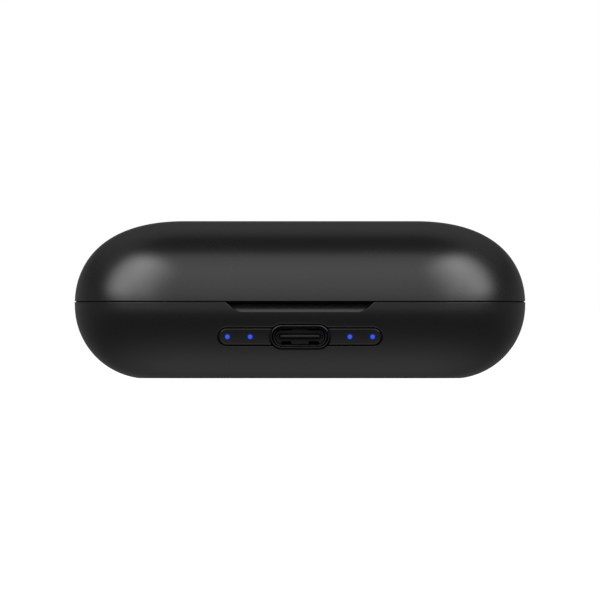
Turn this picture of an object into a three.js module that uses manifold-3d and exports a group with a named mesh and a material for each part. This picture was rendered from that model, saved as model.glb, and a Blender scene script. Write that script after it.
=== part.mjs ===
// Wireless earbuds charging case: a pill-shaped base and lid on a rear barrel hinge.
// Millimetres. X runs along the case, the front faces -Y and Z is up.
// The origin is under the middle of the case, on the surface that it stands on.

import * as THREE from 'three';
import { mergeVertices } from 'three/addons/utils/BufferGeometryUtils.js';
import Module from 'manifold-3d';

const wasm = await Module();
wasm.setup();

// ---------------------------------------------------------------- driving dimensions

const caseLength = 74;
const caseDepth = 36;
const caseHeight = 25.8;
const splitZ = 12.5; // the line between base and lid
const splitGap = 0.24;

const endR = caseDepth / 2; // plan radius of the two round ends
const halfStraight = caseLength / 2 - endR;
const rimZ = splitZ - splitGap / 2; // top of the base
const lidZ = splitZ + splitGap / 2; // bottom of the lid

// The base's section is one round arc, cut off flat where it stands.
const bellyR = 12.05;
const bellyZ = 11.95;
const bellyX = endR - bellyR;

// The lid's section is one cubic curve from an upright side to a level crown.
const crownStartZ = 12.3;
const crownSideHandle = 5.85;
const crownTopHandle = 14.25;

const wall = 1.5;
const rebateR = 16.2; // seat of the inner mouldings, in base and lid
const ledgeR = 15.3;
const flangeR = 16; // edge of the inner mouldings
const baseLedgeZ = 10.2;
const lidLedgeZ = 14.4;
const cradleTopZ = 11.7;
const linerBottomZ = 13.2;
const skin = 1; // wall of the pockets
const lidSkin = 0.8;
const innerLip = { outerR: 15.95, innerR: 15.4, z: 12, backY: 11 }; // it closes the split from inside

// The finger scoop leans back from its lip to the rim: the lip rolls over from one angle to the other.
const scoop = { flatHalf: 9.46, lipZ: 10.8, corner: 1.8, roll: 0.75 };
scoop.endSlope = THREE.MathUtils.degToRad(39);
scoop.lipAngle = THREE.MathUtils.degToRad(10);
scoop.faceAngle = THREE.MathUtils.degToRad(46);

const hinge = { y: 16.95, barrelR: 1.05, pinR: 0.5, bore: 0.55, lidHalf: 8.85, baseHalf: 17 };
hinge.gap = 0.3;
hinge.lidBevel = THREE.MathUtils.degToRad(50);
hinge.baseBevel = THREE.MathUtils.degToRad(52);

const trim = { z: 6.76, halfLength: 13.3, halfHeight: 1.35, collarHalf: 2.94, collarR: 1.93 };
trim.fillet = 0.8;
trim.face = 0.05; // the trim's face sits this far below the shell's
trim.thickness = 0.85;
trim.recess = 1;
trim.gap = 0.17;
const port = { z: 6.76, width: 9.2, height: 3.34 };
port.sideClearance = 0.05; // round the socket, in the shell behind the trim
port.topClearance = 0.23;
const lightX = [-11.93, -8.19, 8.19, 11.93];
const lightZ = 6.76;
const lightR = 0.46;
const lightHoleGap = 0.1;
const padInset = 2.1; // the wall is thicker behind the trim

const socket = { width: 8.94, height: 3.26, sheet: 0.3, mouthY: -15.6, backY: -8.3 };
socket.legY = [-12, -9.6];
socket.legHalf = 0.5;
const tongue = { width: 6.69, height: 0.7, tipY: -14.9, rootY: -10.8 };

const board = { top: 5.06, thickness: 0.8, frontY: -12, backY: -4, halfWidth: 9.4 };
board.wingHalf = 13.2;
board.wingY = -9.7;
board.holeR = 0.75;
const boardScrews = [[-10.1, -10.8], [10.1, -10.8], [-8.1, -5.3], [8.1, -5.3]];
const boss = { r: 1.3, boreR: 0.7, floor: 0.3 };
const screw = { shankR: 0.6, tipR: 0.45, tip: 0.3, shank: 3.2, headR: 1.1, headHeight: 0.7 };
screw.headEdge = 0.35;
screw.headTopR = 0.75;
screw.slot = 0.24;
const led = { half: 0.5, depth: 0.55, height: 0.8, inset: 0.05 };
const chips = {
  charge_controller: { x: [-5.6, -2.6], y: [-7.7, -4.7], height: 0.9 },
  power_inductor: { x: [2.9, 5.9], y: [-7.7, -4.7], height: 1.5, corner: 0.6 },
  hall_sensor: { x: [5.4, 6.9], y: [-11.7, -10.3], height: 1 },
  battery_socket: { x: [-2, 2], y: [-6.4, -4.3], height: 1.5 },
};

const cell = { halfWidth: 9.6, frontY: -3.2, backY: 12.2, bottom: 4.2, top: 9.8, corner: 1.2 };
cell.seal = { length: 0.8, inset: 1, drop: 1.6, height: 1 };
const cellPad = { thickness: 0.3, x: [-6, 6], y: [-1, 8] };
const cellRib = { x: 5, half: 0.5 };
const leadR = 0.35;

const pocket = { x: 20.5, y: 0.5, z: 12.3, rx: 10.2, ry: 8.8, rz: 6.2 };
const well = { x: 15.3, y: -5, z: 8, r: 4.3, depth: 4.8, draft: 0.5 };
const recess = { x: 20.5, y: 0.5, z: 13.2, rx: 10.2, ry: 8.8, rz: 6.8 };

const pin = { x: 24.5, spread: 2.5, footZ: 3, topZ: 6.5, tipZ: 7.6, barrelR: 0.9, innerR: 0.7 };
pin.lipR = 0.5;
pin.lip = 0.3;
pin.plungerR = 0.42;
pin.pistonR = 0.6;
pin.pistonZ = 5.4;
pin.floor = 0.4;
pin.boreGap = 0.1;
pin.sleeve = 0.8; // wall of the cradle's sleeve round a contact
const contactBoard = { halfX: 3, halfY: 4.4, thickness: 0.8 };
const contactRib = { x: 1.6, half: 0.4 };
const spring = { meanR: 0.45, wireR: 0.08, turns: 4, clearance: 0.06 };

const magnet = { r: 2, height: 1.6, x: 7, y: -12.9, sunk: 0.4, gap: 0.1 };
const budMagnet = { r: 1.75, height: 1.2, x: 18.5, y: 4.5, z: 4.5 };

// ---------------------------------------------------------------- solids

const axisX = new THREE.Vector3(1, 0, 0);
const axisY = new THREE.Vector3(0, 1, 0);
const axisZ = new THREE.Vector3(0, 0, 1);
const alongX = new THREE.Matrix4().makeBasis(axisY, axisZ, axisX);
const alongY = new THREE.Matrix4().makeBasis(axisX, axisZ, axisY.clone().negate());

// A closed geometry as a solid that can be joined and cut.
function solid(geometry) {
  const bare = geometry.clone();
  bare.deleteAttribute('normal');
  bare.deleteAttribute('uv');
  const merged = mergeVertices(bare, 1e-4);
  const corners = [];
  const index = merged.index.array;
  for (let i = 0; i < index.length; i += 3) {
    const [a, b, c] = index.slice(i, i + 3);
    if (a !== b && b !== c && c !== a) corners.push(a, b, c);
  }
  const vertProperties = merged.attributes.position.array;
  const triVerts = new Uint32Array(corners);
  return new wasm.Manifold(new wasm.Mesh({ numProp: 3, vertProperties, triVerts }));
}

function geometryOf(manifold) {
  const { vertProperties, triVerts } = manifold.getMesh();
  const geometry = new THREE.BufferGeometry();
  geometry.setAttribute('position', new THREE.BufferAttribute(vertProperties, 3));
  geometry.setIndex(new THREE.BufferAttribute(triVerts, 1));
  geometry.computeVertexNormals();
  return geometry;
}

const outerArcs = 18; // steps in each round end
const innerArcs = 14;

// A section of [distance from the stadium's centre line, height] points, swept round the stadium.
// Its first and last points are on the centre line, where it closes.
function pill(section, arcSteps = outerArcs) {
  const columns = [];
  for (const side of [1, -1]) {
    for (let i = 0; i <= arcSteps; i++) {
      const angle = Math.PI * (i / arcSteps - 0.5) + (side < 0 ? Math.PI : 0);
      columns.push({ x: side * halfStraight, cos: Math.cos(angle), sin: Math.sin(angle) });
    }
  }
  const rows = section.length;
  const column = (c) => section.flatMap(([r, z]) => [c.x + r * c.cos, r * c.sin, z]);
  const positions = columns.flatMap(column);
  const index = [];
  columns.forEach((_, i) => {
    const here = i * rows;
    const next = ((i + 1) % columns.length) * rows;
    for (let j = 0; j < rows - 1; j++) {
      index.push(here + j, next + j, next + j + 1, here + j, next + j + 1, here + j + 1);
    }
  });
  return solid(indexed(positions, index));
}

// Closed rings of points, front to back, each with as many as the next, skinned and capped.
function loft(rings) {
  const around = rings[0].length;
  const index = [];
  for (let i = 0; i < rings.length - 1; i++) {
    for (let j = 0; j < around; j++) {
      const here = i * around;
      const next = (j + 1) % around;
      index.push(here + j, here + around + next, here + next);
      index.push(here + j, here + around + j, here + around + next);
    }
  }
  const last = (rings.length - 1) * around;
  for (let j = 1; j < around - 1; j++) {
    index.push(0, j, j + 1);
    index.push(last, last + j + 1, last + j);
  }
  return solid(indexed(rings.flat(2), index));
}

function indexed(positions, index) {
  const geometry = new THREE.BufferGeometry();
  geometry.setAttribute('position', new THREE.Float32BufferAttribute(positions, 3));
  geometry.setIndex(index);
  return geometry;
}

// A shape drawn in (y, z), (x, z) or (x, y) and drawn out from one place to another.
function prism(axis, shape, from, to, curveSegments = 8) {
  const geometry = new THREE.ExtrudeGeometry(shape, {
    depth: to - from,
    bevelEnabled: false,
    curveSegments,
  });
  if (axis === 'y') geometry.translate(0, 0, -to).applyMatrix4(alongY);
  if (axis === 'x') geometry.translate(0, 0, from).applyMatrix4(alongX);
  if (axis === 'z') geometry.translate(0, 0, from);
  return solid(geometry);
}

function polygon(points) {
  return new THREE.Shape(points.map(([a, b]) => new THREE.Vector2(a, b)));
}

function box(x0, x1, y0, y1, z0, z1) {
  const geometry = new THREE.BoxGeometry(x1 - x0, y1 - y0, z1 - z0);
  return solid(geometry.translate((x0 + x1) / 2, (y0 + y1) / 2, (z0 + z1) / 2));
}

function roundedRect(x0, x1, y0, y1, r) {
  const shape = new THREE.Shape();
  shape.absarc(x1 - r, y1 - r, r, 0, Math.PI / 2);
  shape.absarc(x0 + r, y1 - r, r, Math.PI / 2, Math.PI);
  shape.absarc(x0 + r, y0 + r, r, Math.PI, Math.PI * 1.5);
  shape.absarc(x1 - r, y0 + r, r, Math.PI * 1.5, Math.PI * 2);
  return shape;
}

function stadium(width, height, z) {
  const halfHeight = height / 2;
  const halfWidth = width / 2 - halfHeight;
  const shape = new THREE.Shape();
  shape.absarc(halfWidth, z, halfHeight, -Math.PI / 2, Math.PI / 2);
  shape.absarc(-halfWidth, z, halfHeight, Math.PI / 2, Math.PI * 1.5);
  return shape;
}

function circle(r, sides) {
  const corners = Array.from({ length: sides }, (_, i) => {
    const angle = (i / sides) * Math.PI * 2;
    return [r * Math.cos(angle), r * Math.sin(angle)];
  });
  return polygon(corners);
}

// A round bar or disc on a row axis through (a, b), the two other coordinates in order.
function bar(axis, r, from, to, a, b, sides = 12) {
  const place = { x: [0, a, b], y: [a, 0, b], z: [a, b, 0] }[axis];
  return prism(axis, circle(r, sides), from, to).translate(place);
}

// A round wire or rod drawn along a curve.
function rod(path, r, steps, sides) {
  const settings = { extrudePath: path, steps, bevelEnabled: false };
  return solid(new THREE.ExtrudeGeometry(circle(r, sides), settings));
}

// A turned piece on the Z axis, from its [radius, height] outline.
function turned(outline, sides = 10) {
  const points = outline.map(([r, z]) => new THREE.Vector2(r, z));
  return solid(new THREE.LatheGeometry(points, sides).rotateX(Math.PI / 2));
}

function ellipsoid(at, side, grow = 0, steps = 24) {
  const geometry = new THREE.SphereGeometry(1, steps, steps / 2);
  geometry.rotateX(Math.PI / 2);
  geometry.scale(at.rx + grow, at.ry + grow, at.rz + grow);
  return solid(geometry.translate(side * at.x, at.y, at.z));
}

// The round well for an earbud's tip: a bowl that opens out by its draft up to the tray's top.
function tipWell(side, grow) {
  const bowl = [90, 72, 54, 36, 18, 0].map((degrees) => {
    const angle = THREE.MathUtils.degToRad(degrees);
    const r = degrees === 90 ? 0 : (well.r + grow) * Math.cos(angle);
    return [r, well.z - (well.depth + grow) * Math.sin(angle)];
  });
  const topZ = cradleTopZ + 1;
  const outline = [...bowl, [well.r + grow + well.draft, topZ], [0, topZ]];
  return turned(outline, 20).translate([side * well.x, well.y, 0]);
}

function join(...pieces) {
  return pieces.reduce((whole, piece) => whole.add(piece));
}

// ---------------------------------------------------------------- outlines of the case

// The base's outer section, drawn in by inset, up to topZ and out to maxR at most.
function baseSection(inset, topZ, maxR = Infinity, steps = inset ? 10 : 14) {
  const r = bellyR - inset;
  const start = Math.asin((bellyZ - inset) / r);
  const section = [[0, inset]];
  for (let i = 0; i <= steps; i++) {
    const angle = start * (1 - i / steps);
    section.push([Math.min(maxR, bellyX + r * Math.cos(angle)), bellyZ - r * Math.sin(angle)]);
  }
  section.push([Math.min(maxR, bellyX + r), topZ], [0, topZ]);
  return section;
}

// The lid's section, drawn in by inset along the curve's normal.
function lidSection(inset, maxR = Infinity, steps = inset ? 10 : 16) {
  const curve = new THREE.CubicBezierCurve(
    new THREE.Vector2(endR, crownStartZ),
    new THREE.Vector2(endR, crownStartZ + crownSideHandle),
    new THREE.Vector2(crownTopHandle, caseHeight),
    new THREE.Vector2(0, caseHeight),
  );
  const section = [[0, crownStartZ]];
  for (let i = 0; i < steps; i++) {
    const point = curve.getPoint(i / steps);
    const along = curve.getTangent(i / steps);
    section.push([Math.min(maxR, point.x - inset * along.y), point.y + inset * along.x]);
  }
  section.push([0, caseHeight - inset]);
  return section;
}

const lidFloor = box(-caseLength, caseLength, -caseDepth, caseDepth, 0, lidZ);
const baseOuter = (inset) => pill(baseSection(inset, rimZ));
const disc = (r, z0, z1) => pill([[0, z0], [r, z0], [r, z1], [0, z1]]);

// The outline of the port trim: a long capsule with a fatter collar blended in round the port.
function trimOutline(grow) {
  const half = trim.halfHeight + grow;
  const collarR = trim.collarR + grow;
  const fillet = trim.fillet - grow;
  const lift = half + fillet;
  const filletX = trim.collarHalf + Math.sqrt((collarR + fillet) ** 2 - lift ** 2);
  const meet = Math.atan2(lift, filletX - trim.collarHalf);
  const arc = (cx, cy, r, from, to, steps) =>
    Array.from({ length: steps + 1 }, (_, i) => {
      const angle = from + ((to - from) * i) / steps;
      return [cx + r * Math.cos(angle), cy + r * Math.sin(angle)];
    });
  const quarter = [
    ...arc(trim.halfLength - trim.halfHeight, 0, half, 0, Math.PI / 2, 5),
    ...arc(filletX, lift, fillet, -Math.PI / 2, meet - Math.PI, 2),
    ...arc(trim.collarHalf, 0, collarR, meet, Math.PI / 2, 3),
  ];
  const right = [...quarter.slice(1).map(([x, z]) => [x, -z]).reverse(), ...quarter];
  const left = right.map(([x, z]) => [-x, z]).reverse();
  return polygon([...right, ...left].map(([x, z]) => [x, trim.z + z]));
}

// ---------------------------------------------------------------- hinge

// The wedge behind the hinge line that lid (upwards) or base (downwards) must leave free.
function hingeBevel(angle, way) {
  const reach = caseDepth / 2;
  const wedge = [
    [hinge.y, splitZ],
    [hinge.y + reach, splitZ],
    [hinge.y + reach * Math.cos(angle), splitZ + way * reach * Math.sin(angle)],
  ];
  return prism('x', polygon(way > 0 ? wedge : wedge.reverse()), -caseLength / 2, caseLength / 2);
}

const hingeBar = (r, x0, x1) => bar('x', r, x0, x1, hinge.y, splitZ, 16);

// ---------------------------------------------------------------- base

// How far forward the base's front is at a height, drawn in by inset.
function frontY(z, inset) {
  const drop = Math.min(0, z - bellyZ);
  return -bellyX - Math.sqrt((bellyR - inset) ** 2 - drop ** 2);
}

// The scoop's outline, drawn in by rise and set below the shell's front by inset.
function scoopRing(rise, inset) {
  const top = rimZ + 0.8;
  const r = scoop.corner - rise;
  const z = scoop.lipZ + scoop.corner;
  const corner = [0, 0.25, 0.5, 0.75, 1].map((t) => {
    const angle = scoop.endSlope * t;
    return [scoop.flatHalf + r * Math.sin(angle), z - r * Math.cos(angle)];
  });
  const [endX, endZ] = corner.at(-1);
  const right = [[0, z - r], ...corner, [endX + (top - endZ) / Math.tan(scoop.endSlope), top]];
  const left = right.slice(1).map(([x, height]) => [-x, height]).reverse();
  return [...right, ...left].map(([x, height]) => [x, frontY(height, inset), height]);
}

function fingerScoop() {
  const { roll, lipAngle, faceAngle } = scoop;
  const outside = 0.1;
  const start = -outside / Math.tan(lipAngle);
  const rings = [scoopRing(start, -1), scoopRing(start, -outside)];
  for (const t of [0, 0.35, 0.7, 1]) {
    const angle = lipAngle + (faceAngle - lipAngle) * t;
    const rise = roll * (Math.sin(angle) - Math.sin(lipAngle));
    rings.push(scoopRing(rise, roll * (Math.cos(lipAngle) - Math.cos(angle))));
  }
  const rollRise = roll * (Math.sin(faceAngle) - Math.sin(lipAngle));
  const rollDepth = roll * (Math.cos(lipAngle) - Math.cos(faceAngle));
  const rise = rimZ + 0.05 - scoop.lipZ;
  rings.push(scoopRing(rise, rollDepth + (rise - rollRise) * Math.tan(faceAngle)));
  return loft(rings);
}

function makeBaseShell() {
  let shell = baseOuter(0);
  shell = shell.subtract(pill(baseSection(wall, rimZ + 1, ledgeR), innerArcs));
  shell = shell.subtract(disc(rebateR, baseLedgeZ, rimZ + 1));

  // A thicker wall behind the port trim, then the trim's seat and the holes through it.
  const inner = pill(baseSection(padInset, rimZ + 1), innerArcs);
  const pad = prism('y', trimOutline(trim.fillet / 2), -endR, 0);
  shell = shell.add(pad.intersect(baseOuter(wall / 2)).subtract(inner));
  const seat = prism('y', trimOutline(trim.gap), -endR, 0);
  shell = shell.subtract(seat.subtract(baseOuter(trim.recess)));
  const holeWidth = port.width + 2 * port.sideClearance;
  const holeHeight = port.height + 2 * port.topClearance;
  shell = shell.subtract(prism('y', stadium(holeWidth, holeHeight, port.z), -endR, -endR / 2));
  for (const x of lightX) {
    shell = shell.subtract(lightRod(x, lightR + lightHoleGap));
  }

  // Bosses under the main board, and ribs under the cell and the contact boards.
  const inside = pill(baseSection(wall / 2, baseLedgeZ), innerArcs);
  const boardBottom = board.top - board.thickness;
  for (const [x, y] of boardScrews) {
    shell = shell.add(bar('z', boss.r, wall / 2, boardBottom, x, y).intersect(inside));
    shell = shell.subtract(bar('z', boss.boreR, wall + boss.floor, board.top, x, y, 8));
  }
  const padBottom = cell.bottom - cellPad.thickness;
  for (const x of [-cellRib.x, cellRib.x]) {
    const rib = box(x - cellRib.half, x + cellRib.half, cell.frontY, cell.backY, wall / 2, padBottom);
    shell = shell.add(rib.intersect(inside));
  }
  const contactZ = pin.footZ - contactBoard.thickness;
  for (const side of [-1, 1]) {
    for (const offset of [-contactRib.x, contactRib.x]) {
      const x = side * pin.x + offset;
      const { halfY } = contactBoard;
      const rib = box(x - contactRib.half, x + contactRib.half, -halfY, halfY, wall / 2, contactZ);
      shell = shell.add(rib.intersect(inside));
    }
  }

  shell = shell.subtract(fingerScoop());

  // The hinge groove, the two outer knuckles and the bore for the pin.
  shell = shell.subtract(hingeBevel(hinge.baseBevel, -1));
  const grooveHalf = hinge.lidHalf + hinge.gap;
  shell = shell.subtract(hingeBar(hinge.barrelR + hinge.gap, -grooveHalf, grooveHalf));
  for (const side of [-1, 1]) {
    const ends = [side * grooveHalf, side * hinge.baseHalf].sort((a, b) => a - b);
    shell = shell.add(hingeBar(hinge.barrelR, ...ends));
  }
  return shell.subtract(hingeBar(hinge.bore, -endR, endR));
}

function makePortTrim() {
  const outline = prism('y', trimOutline(0), -endR, 0);
  let piece = outline.intersect(baseOuter(trim.face)).subtract(baseOuter(trim.face + trim.thickness));
  piece = piece.subtract(prism('y', stadium(port.width, port.height, port.z), -endR, 0));
  for (const x of lightX) {
    piece = piece.subtract(bar('y', lightR + lightHoleGap, -endR, 0, x, lightZ, 10));
  }
  return piece;
}

// A rod of light: straight back from the trim's face, then down to its source on the board.
function lightRod(x, radius) {
  const ledY = board.frontY - 0.3;
  const ledZ = board.top + led.height / 2;
  const route = [
    [-endR, lightZ],
    [-15.6, lightZ],
    [-14.1, lightZ - 0.05],
    [-13.3, lightZ - 0.75],
    [ledY, ledZ],
  ];
  const bend = new THREE.CatmullRomCurve3(route.map(([y, z]) => new THREE.Vector3(x, y, z)));
  return rod(bend, radius, 8, 10);
}

function makeUsbShell() {
  const { width, height, sheet } = socket;
  const outline = stadium(width, height, port.z);
  outline.holes.push(stadium(width - 2 * sheet, height - 2 * sheet, port.z));
  const sleeve = prism('y', outline, socket.mouthY, socket.backY, 4);
  const halfSheet = sheet / 2;
  const legs = [-1, 1].flatMap((side) => {
    const x = side * (width / 2 - halfSheet);
    return socket.legY.map((y) => {
      const { legHalf } = socket;
      return box(x - halfSheet, x + halfSheet, y - legHalf, y + legHalf, board.top, port.z);
    });
  });
  return join(sleeve, ...legs);
}

function makeUsbTongue() {
  const inset = 2 * socket.sheet + 0.1;
  const block = stadium(socket.width - inset, socket.height - inset, port.z);
  const blade = box(
    -tongue.width / 2,
    tongue.width / 2,
    tongue.tipY,
    tongue.rootY + 0.5,
    port.z - tongue.height / 2,
    port.z + tongue.height / 2,
  );
  return prism('y', block, tongue.rootY, socket.backY, 4).add(blade);
}

function makeMainBoard() {
  const outline = polygon([
    [-board.wingHalf, board.frontY],
    [board.wingHalf, board.frontY],
    [board.wingHalf, board.wingY],
    [board.halfWidth, board.wingY + 1],
    [board.halfWidth, board.backY],
    [-board.halfWidth, board.backY],
    [-board.halfWidth, board.wingY + 1],
    [-board.wingHalf, board.wingY],
  ]);
  let sheet = prism('z', outline, board.top - board.thickness, board.top);
  for (const [x, y] of boardScrews) {
    sheet = sheet.subtract(bar('z', board.holeR, 0, caseHeight, x, y, 8));
  }
  return sheet;
}

function makeBoardScrew(x, y) {
  const { shankR, tipR, tip, shank, headR, headEdge, headTopR, headHeight } = screw;
  const outline = [
    [0, -shank],
    [tipR, -shank],
    [shankR, tip - shank],
    [shankR, 0],
    [headR, 0],
    [headR, headEdge],
    [headTopR, headHeight],
    [0, headHeight],
  ];
  const half = screw.slot / 2;
  const across = box(-shankR, shankR, -half, half, headEdge, 1);
  const along = box(-half, half, -shankR, shankR, headEdge, 1);
  const seat = board.top + 0.02;
  return turned(outline).subtract(across).subtract(along).translate([x, y, seat]);
}

function makeChip({ x, y, height, corner }) {
  const top = board.top + height;
  if (!corner) return box(...x, ...y, board.top, top);
  return prism('z', roundedRect(...x, ...y, corner), board.top, top, 3);
}

function makeCell() {
  const { halfWidth, backY, bottom, top, corner, seal } = cell;
  const front = cell.frontY + seal.length;
  const pouch = prism('y', roundedRect(-halfWidth, halfWidth, bottom, top, corner), front, backY, 3);
  const sealHalf = halfWidth - seal.inset;
  const sealZ = top - seal.drop;
  const flap = box(-sealHalf, sealHalf, cell.frontY, front + corner / 3, sealZ, sealZ + seal.height);
  return pouch.add(flap);
}

// A lead from the cell's seal down into the socket on the board.
function makeLead(side) {
  const route = [
    [1.9, -0.3, cell.top - 1.1],
    [1.9, -1.1, cell.top - 1.2],
    [1.3, -1.8, cell.top - 1.9],
    [0.8, -2.1, board.top + 1.9],
  ];
  const points = route.map(([x, y, z]) => new THREE.Vector3(side * x, cell.frontY + y, z));
  return rod(new THREE.CatmullRomCurve3(points), leadR, 6, 8);
}

// ---------------------------------------------------------------- cradle and charging contacts

function makeCradle() {
  let tray = disc(flangeR, baseLedgeZ, cradleTopZ);
  const above = box(-caseLength, caseLength, -caseDepth, caseDepth, cradleTopZ, caseHeight);
  for (const side of [-1, 1]) {
    const bowls = ellipsoid(pocket, side, skin, 20).add(tipWell(side, skin));
    const { r, x, y, z } = budMagnet;
    const magnetBoss = bar('z', r + pin.sleeve, z, pocket.z - 3, side * x, y);
    tray = tray.add(bowls.subtract(above)).add(magnetBoss);
    for (const offset of [-pin.spread, pin.spread]) {
      const sleeve = bar('z', pin.barrelR + pin.sleeve, pin.footZ, pin.topZ + 1, side * pin.x, offset);
      tray = tray.add(sleeve);
    }
  }
  for (const side of [-1, 1]) {
    tray = tray.subtract(ellipsoid(pocket, side)).subtract(tipWell(side, 0));
    for (const offset of [-pin.spread, pin.spread]) {
      tray = tray.subtract(bar('z', pin.barrelR + pin.boreGap, 0, pocket.z, side * pin.x, offset));
    }
    const magnetTop = budMagnet.z + budMagnet.height + magnet.gap;
    const budHoleR = budMagnet.r + magnet.gap;
    tray = tray.subtract(bar('z', budHoleR, 0, magnetTop, side * budMagnet.x, budMagnet.y));
    const sunkTop = baseLedgeZ + magnet.sunk + magnet.gap / 2;
    tray = tray.subtract(bar('z', magnet.r + magnet.gap, 0, sunkTop, side * magnet.x, magnet.y, 16));
  }
  return tray;
}

function makePogoBarrel() {
  const { footZ, topZ, barrelR, innerR, lipR, lip, floor } = pin;
  return turned([
    [0, footZ],
    [barrelR, footZ],
    [barrelR, topZ - 0.1],
    [barrelR - 0.1, topZ],
    [lipR, topZ],
    [lipR, topZ - lip],
    [innerR, topZ - lip],
    [innerR, footZ + floor],
    [0, footZ + floor],
  ]);
}

function makePogoPlunger() {
  const { pistonZ, topZ, tipZ, lip, plungerR, pistonR } = pin;
  const shoulderZ = topZ - lip - 0.06;
  const dome = [15, 40, 65].map((degrees) => {
    const angle = THREE.MathUtils.degToRad(degrees);
    return [plungerR * Math.cos(angle), tipZ - plungerR + plungerR * Math.sin(angle)];
  });
  return turned([
    [0, pistonZ],
    [pistonR, pistonZ],
    [pistonR, shoulderZ],
    [plungerR, shoulderZ],
    [plungerR, tipZ - plungerR],
    ...dome,
    [0, tipZ],
  ]);
}

// A wound spring between the barrel's floor and the plunger, as one unbroken wire.
class Coil extends THREE.Curve {
  constructor(r, turns, z0, z1) {
    super();
    Object.assign(this, { r, turns, z0, z1 });
  }

  getPoint(t, target = new THREE.Vector3()) {
    const angle = t * this.turns * Math.PI * 2;
    const z = this.z0 + t * (this.z1 - this.z0);
    return target.set(this.r * Math.cos(angle), this.r * Math.sin(angle), z);
  }
}

function makePogoSpring() {
  const inset = spring.wireR + spring.clearance;
  const path = new Coil(spring.meanR, spring.turns, pin.footZ + pin.floor + inset, pin.pistonZ - inset);
  return rod(path, spring.wireR, spring.turns * 7, 4);
}

// ---------------------------------------------------------------- lid

function makeLidShell() {
  let shell = pill(lidSection(0)).subtract(lidFloor);
  shell = shell.subtract(pill(lidSection(wall, ledgeR), innerArcs));
  shell = shell.subtract(disc(rebateR, 0, lidLedgeZ));
  shell = shell.subtract(hingeBevel(hinge.lidBevel, 1));
  for (const side of [-1, 1]) {
    const ends = [side * hinge.lidHalf, side * (hinge.baseHalf + hinge.gap)].sort((a, b) => a - b);
    shell = shell.subtract(hingeBar(hinge.barrelR + hinge.gap, ...ends));
  }
  shell = shell.add(hingeBar(hinge.barrelR, -hinge.lidHalf, hinge.lidHalf));
  return shell.subtract(hingeBar(hinge.bore, -endR, endR));
}

function makeLidLiner() {
  let liner = disc(flangeR, linerBottomZ, lidLedgeZ);
  const below = box(-caseLength, caseLength, -caseDepth, caseDepth, 0, linerBottomZ);
  for (const side of [-1, 1]) {
    liner = liner.add(ellipsoid(recess, side, lidSkin, 20).subtract(below));
  }
  for (const side of [-1, 1]) {
    liner = liner.subtract(ellipsoid(recess, side));
    const sunkBottom = lidLedgeZ - magnet.sunk - magnet.gap / 2;
    const holeR = magnet.r + magnet.gap;
    liner = liner.subtract(bar('z', holeR, sunkBottom, caseHeight, side * magnet.x, magnet.y, 16));
  }
  // A lip that reaches down inside the base's rim, open at the back for the hinge.
  const { outerR, innerR, z, backY } = innerLip;
  const lip = disc(outerR, z, linerBottomZ + skin).subtract(disc(innerR, 0, caseHeight));
  return liner.add(lip.subtract(box(-caseLength, caseLength, backY, caseDepth, 0, caseHeight)));
}

// ---------------------------------------------------------------- materials

function finish(color, roughness, metalness = 0) {
  return new THREE.MeshStandardMaterial({ color, roughness, metalness });
}

const shellBlack = finish(0x1b1b1d, 0.42);
const trimBlack = finish(0x171718, 0.35);
const innerBlack = finish(0x151516, 0.5);
const lensBlue = finish(0x285ff5, 0.25);
const steel = finish(0x6d6f73, 0.35, 1);
const socketSteel = finish(0x3a3b3e, 0.4, 1);
const gold = finish(0xd2a646, 0.3, 1);
const nickel = finish(0xa9aaad, 0.3, 1);
const boardGreen = finish(0x12301f, 0.5);
const chipBlack = finish(0x202124, 0.6);
const ledWhite = finish(0xe8e6d8, 0.4);
const pouchSilver = finish(0xb9bcc0, 0.45, 0.6);
const foam = finish(0x2c2c2c, 0.95);
const leadRed = finish(0xa81c18, 0.5);
const leadBlack = finish(0x111111, 0.5);
const creamNylon = finish(0xe4dcc4, 0.5);

// ---------------------------------------------------------------- assembly

const earbudCase = new THREE.Group();
const lid = new THREE.Group();
lid.position.set(0, hinge.y, splitZ);
earbudCase.add(lid);

function place(name, piece, material, parent = earbudCase) {
  const geometry = geometryOf(piece);
  if (parent === lid) geometry.translate(0, -hinge.y, -splitZ);
  const mesh = new THREE.Mesh(geometry, material);
  mesh.name = name;
  parent.add(mesh);
  return mesh;
}

place('base_shell', makeBaseShell(), shellBlack);
place('port_trim', makePortTrim(), trimBlack);
lightX.forEach((x, i) => {
  place(`light_pipe_${i + 1}`, lightRod(x, lightR).intersect(baseOuter(trim.face)), lensBlue);
});

place('usb_shell', makeUsbShell(), socketSteel);
place('usb_tongue', makeUsbTongue(), trimBlack);
place('main_board', makeMainBoard(), boardGreen);
boardScrews.forEach(([x, y], i) => place(`board_screw_${i + 1}`, makeBoardScrew(x, y), nickel));
lightX.forEach((x, i) => {
  const { half, depth, height, inset } = led;
  const front = board.frontY + inset;
  const body = box(x - half, x + half, front, front + depth, board.top, board.top + height);
  place(`led_${i + 1}`, body, ledWhite);
});
place('charge_controller', makeChip(chips.charge_controller), chipBlack);
place('power_inductor', makeChip(chips.power_inductor), chipBlack);
place('hall_sensor', makeChip(chips.hall_sensor), chipBlack);
place('battery_socket', makeChip(chips.battery_socket), creamNylon);

const padBottom = cell.bottom - cellPad.thickness;
place('battery_pad', box(...cellPad.x, ...cellPad.y, padBottom, cell.bottom), foam);
place('battery_cell', makeCell(), pouchSilver);
place('battery_lead_red', makeLead(1), leadRed);
place('battery_lead_black', makeLead(-1), leadBlack);

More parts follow.
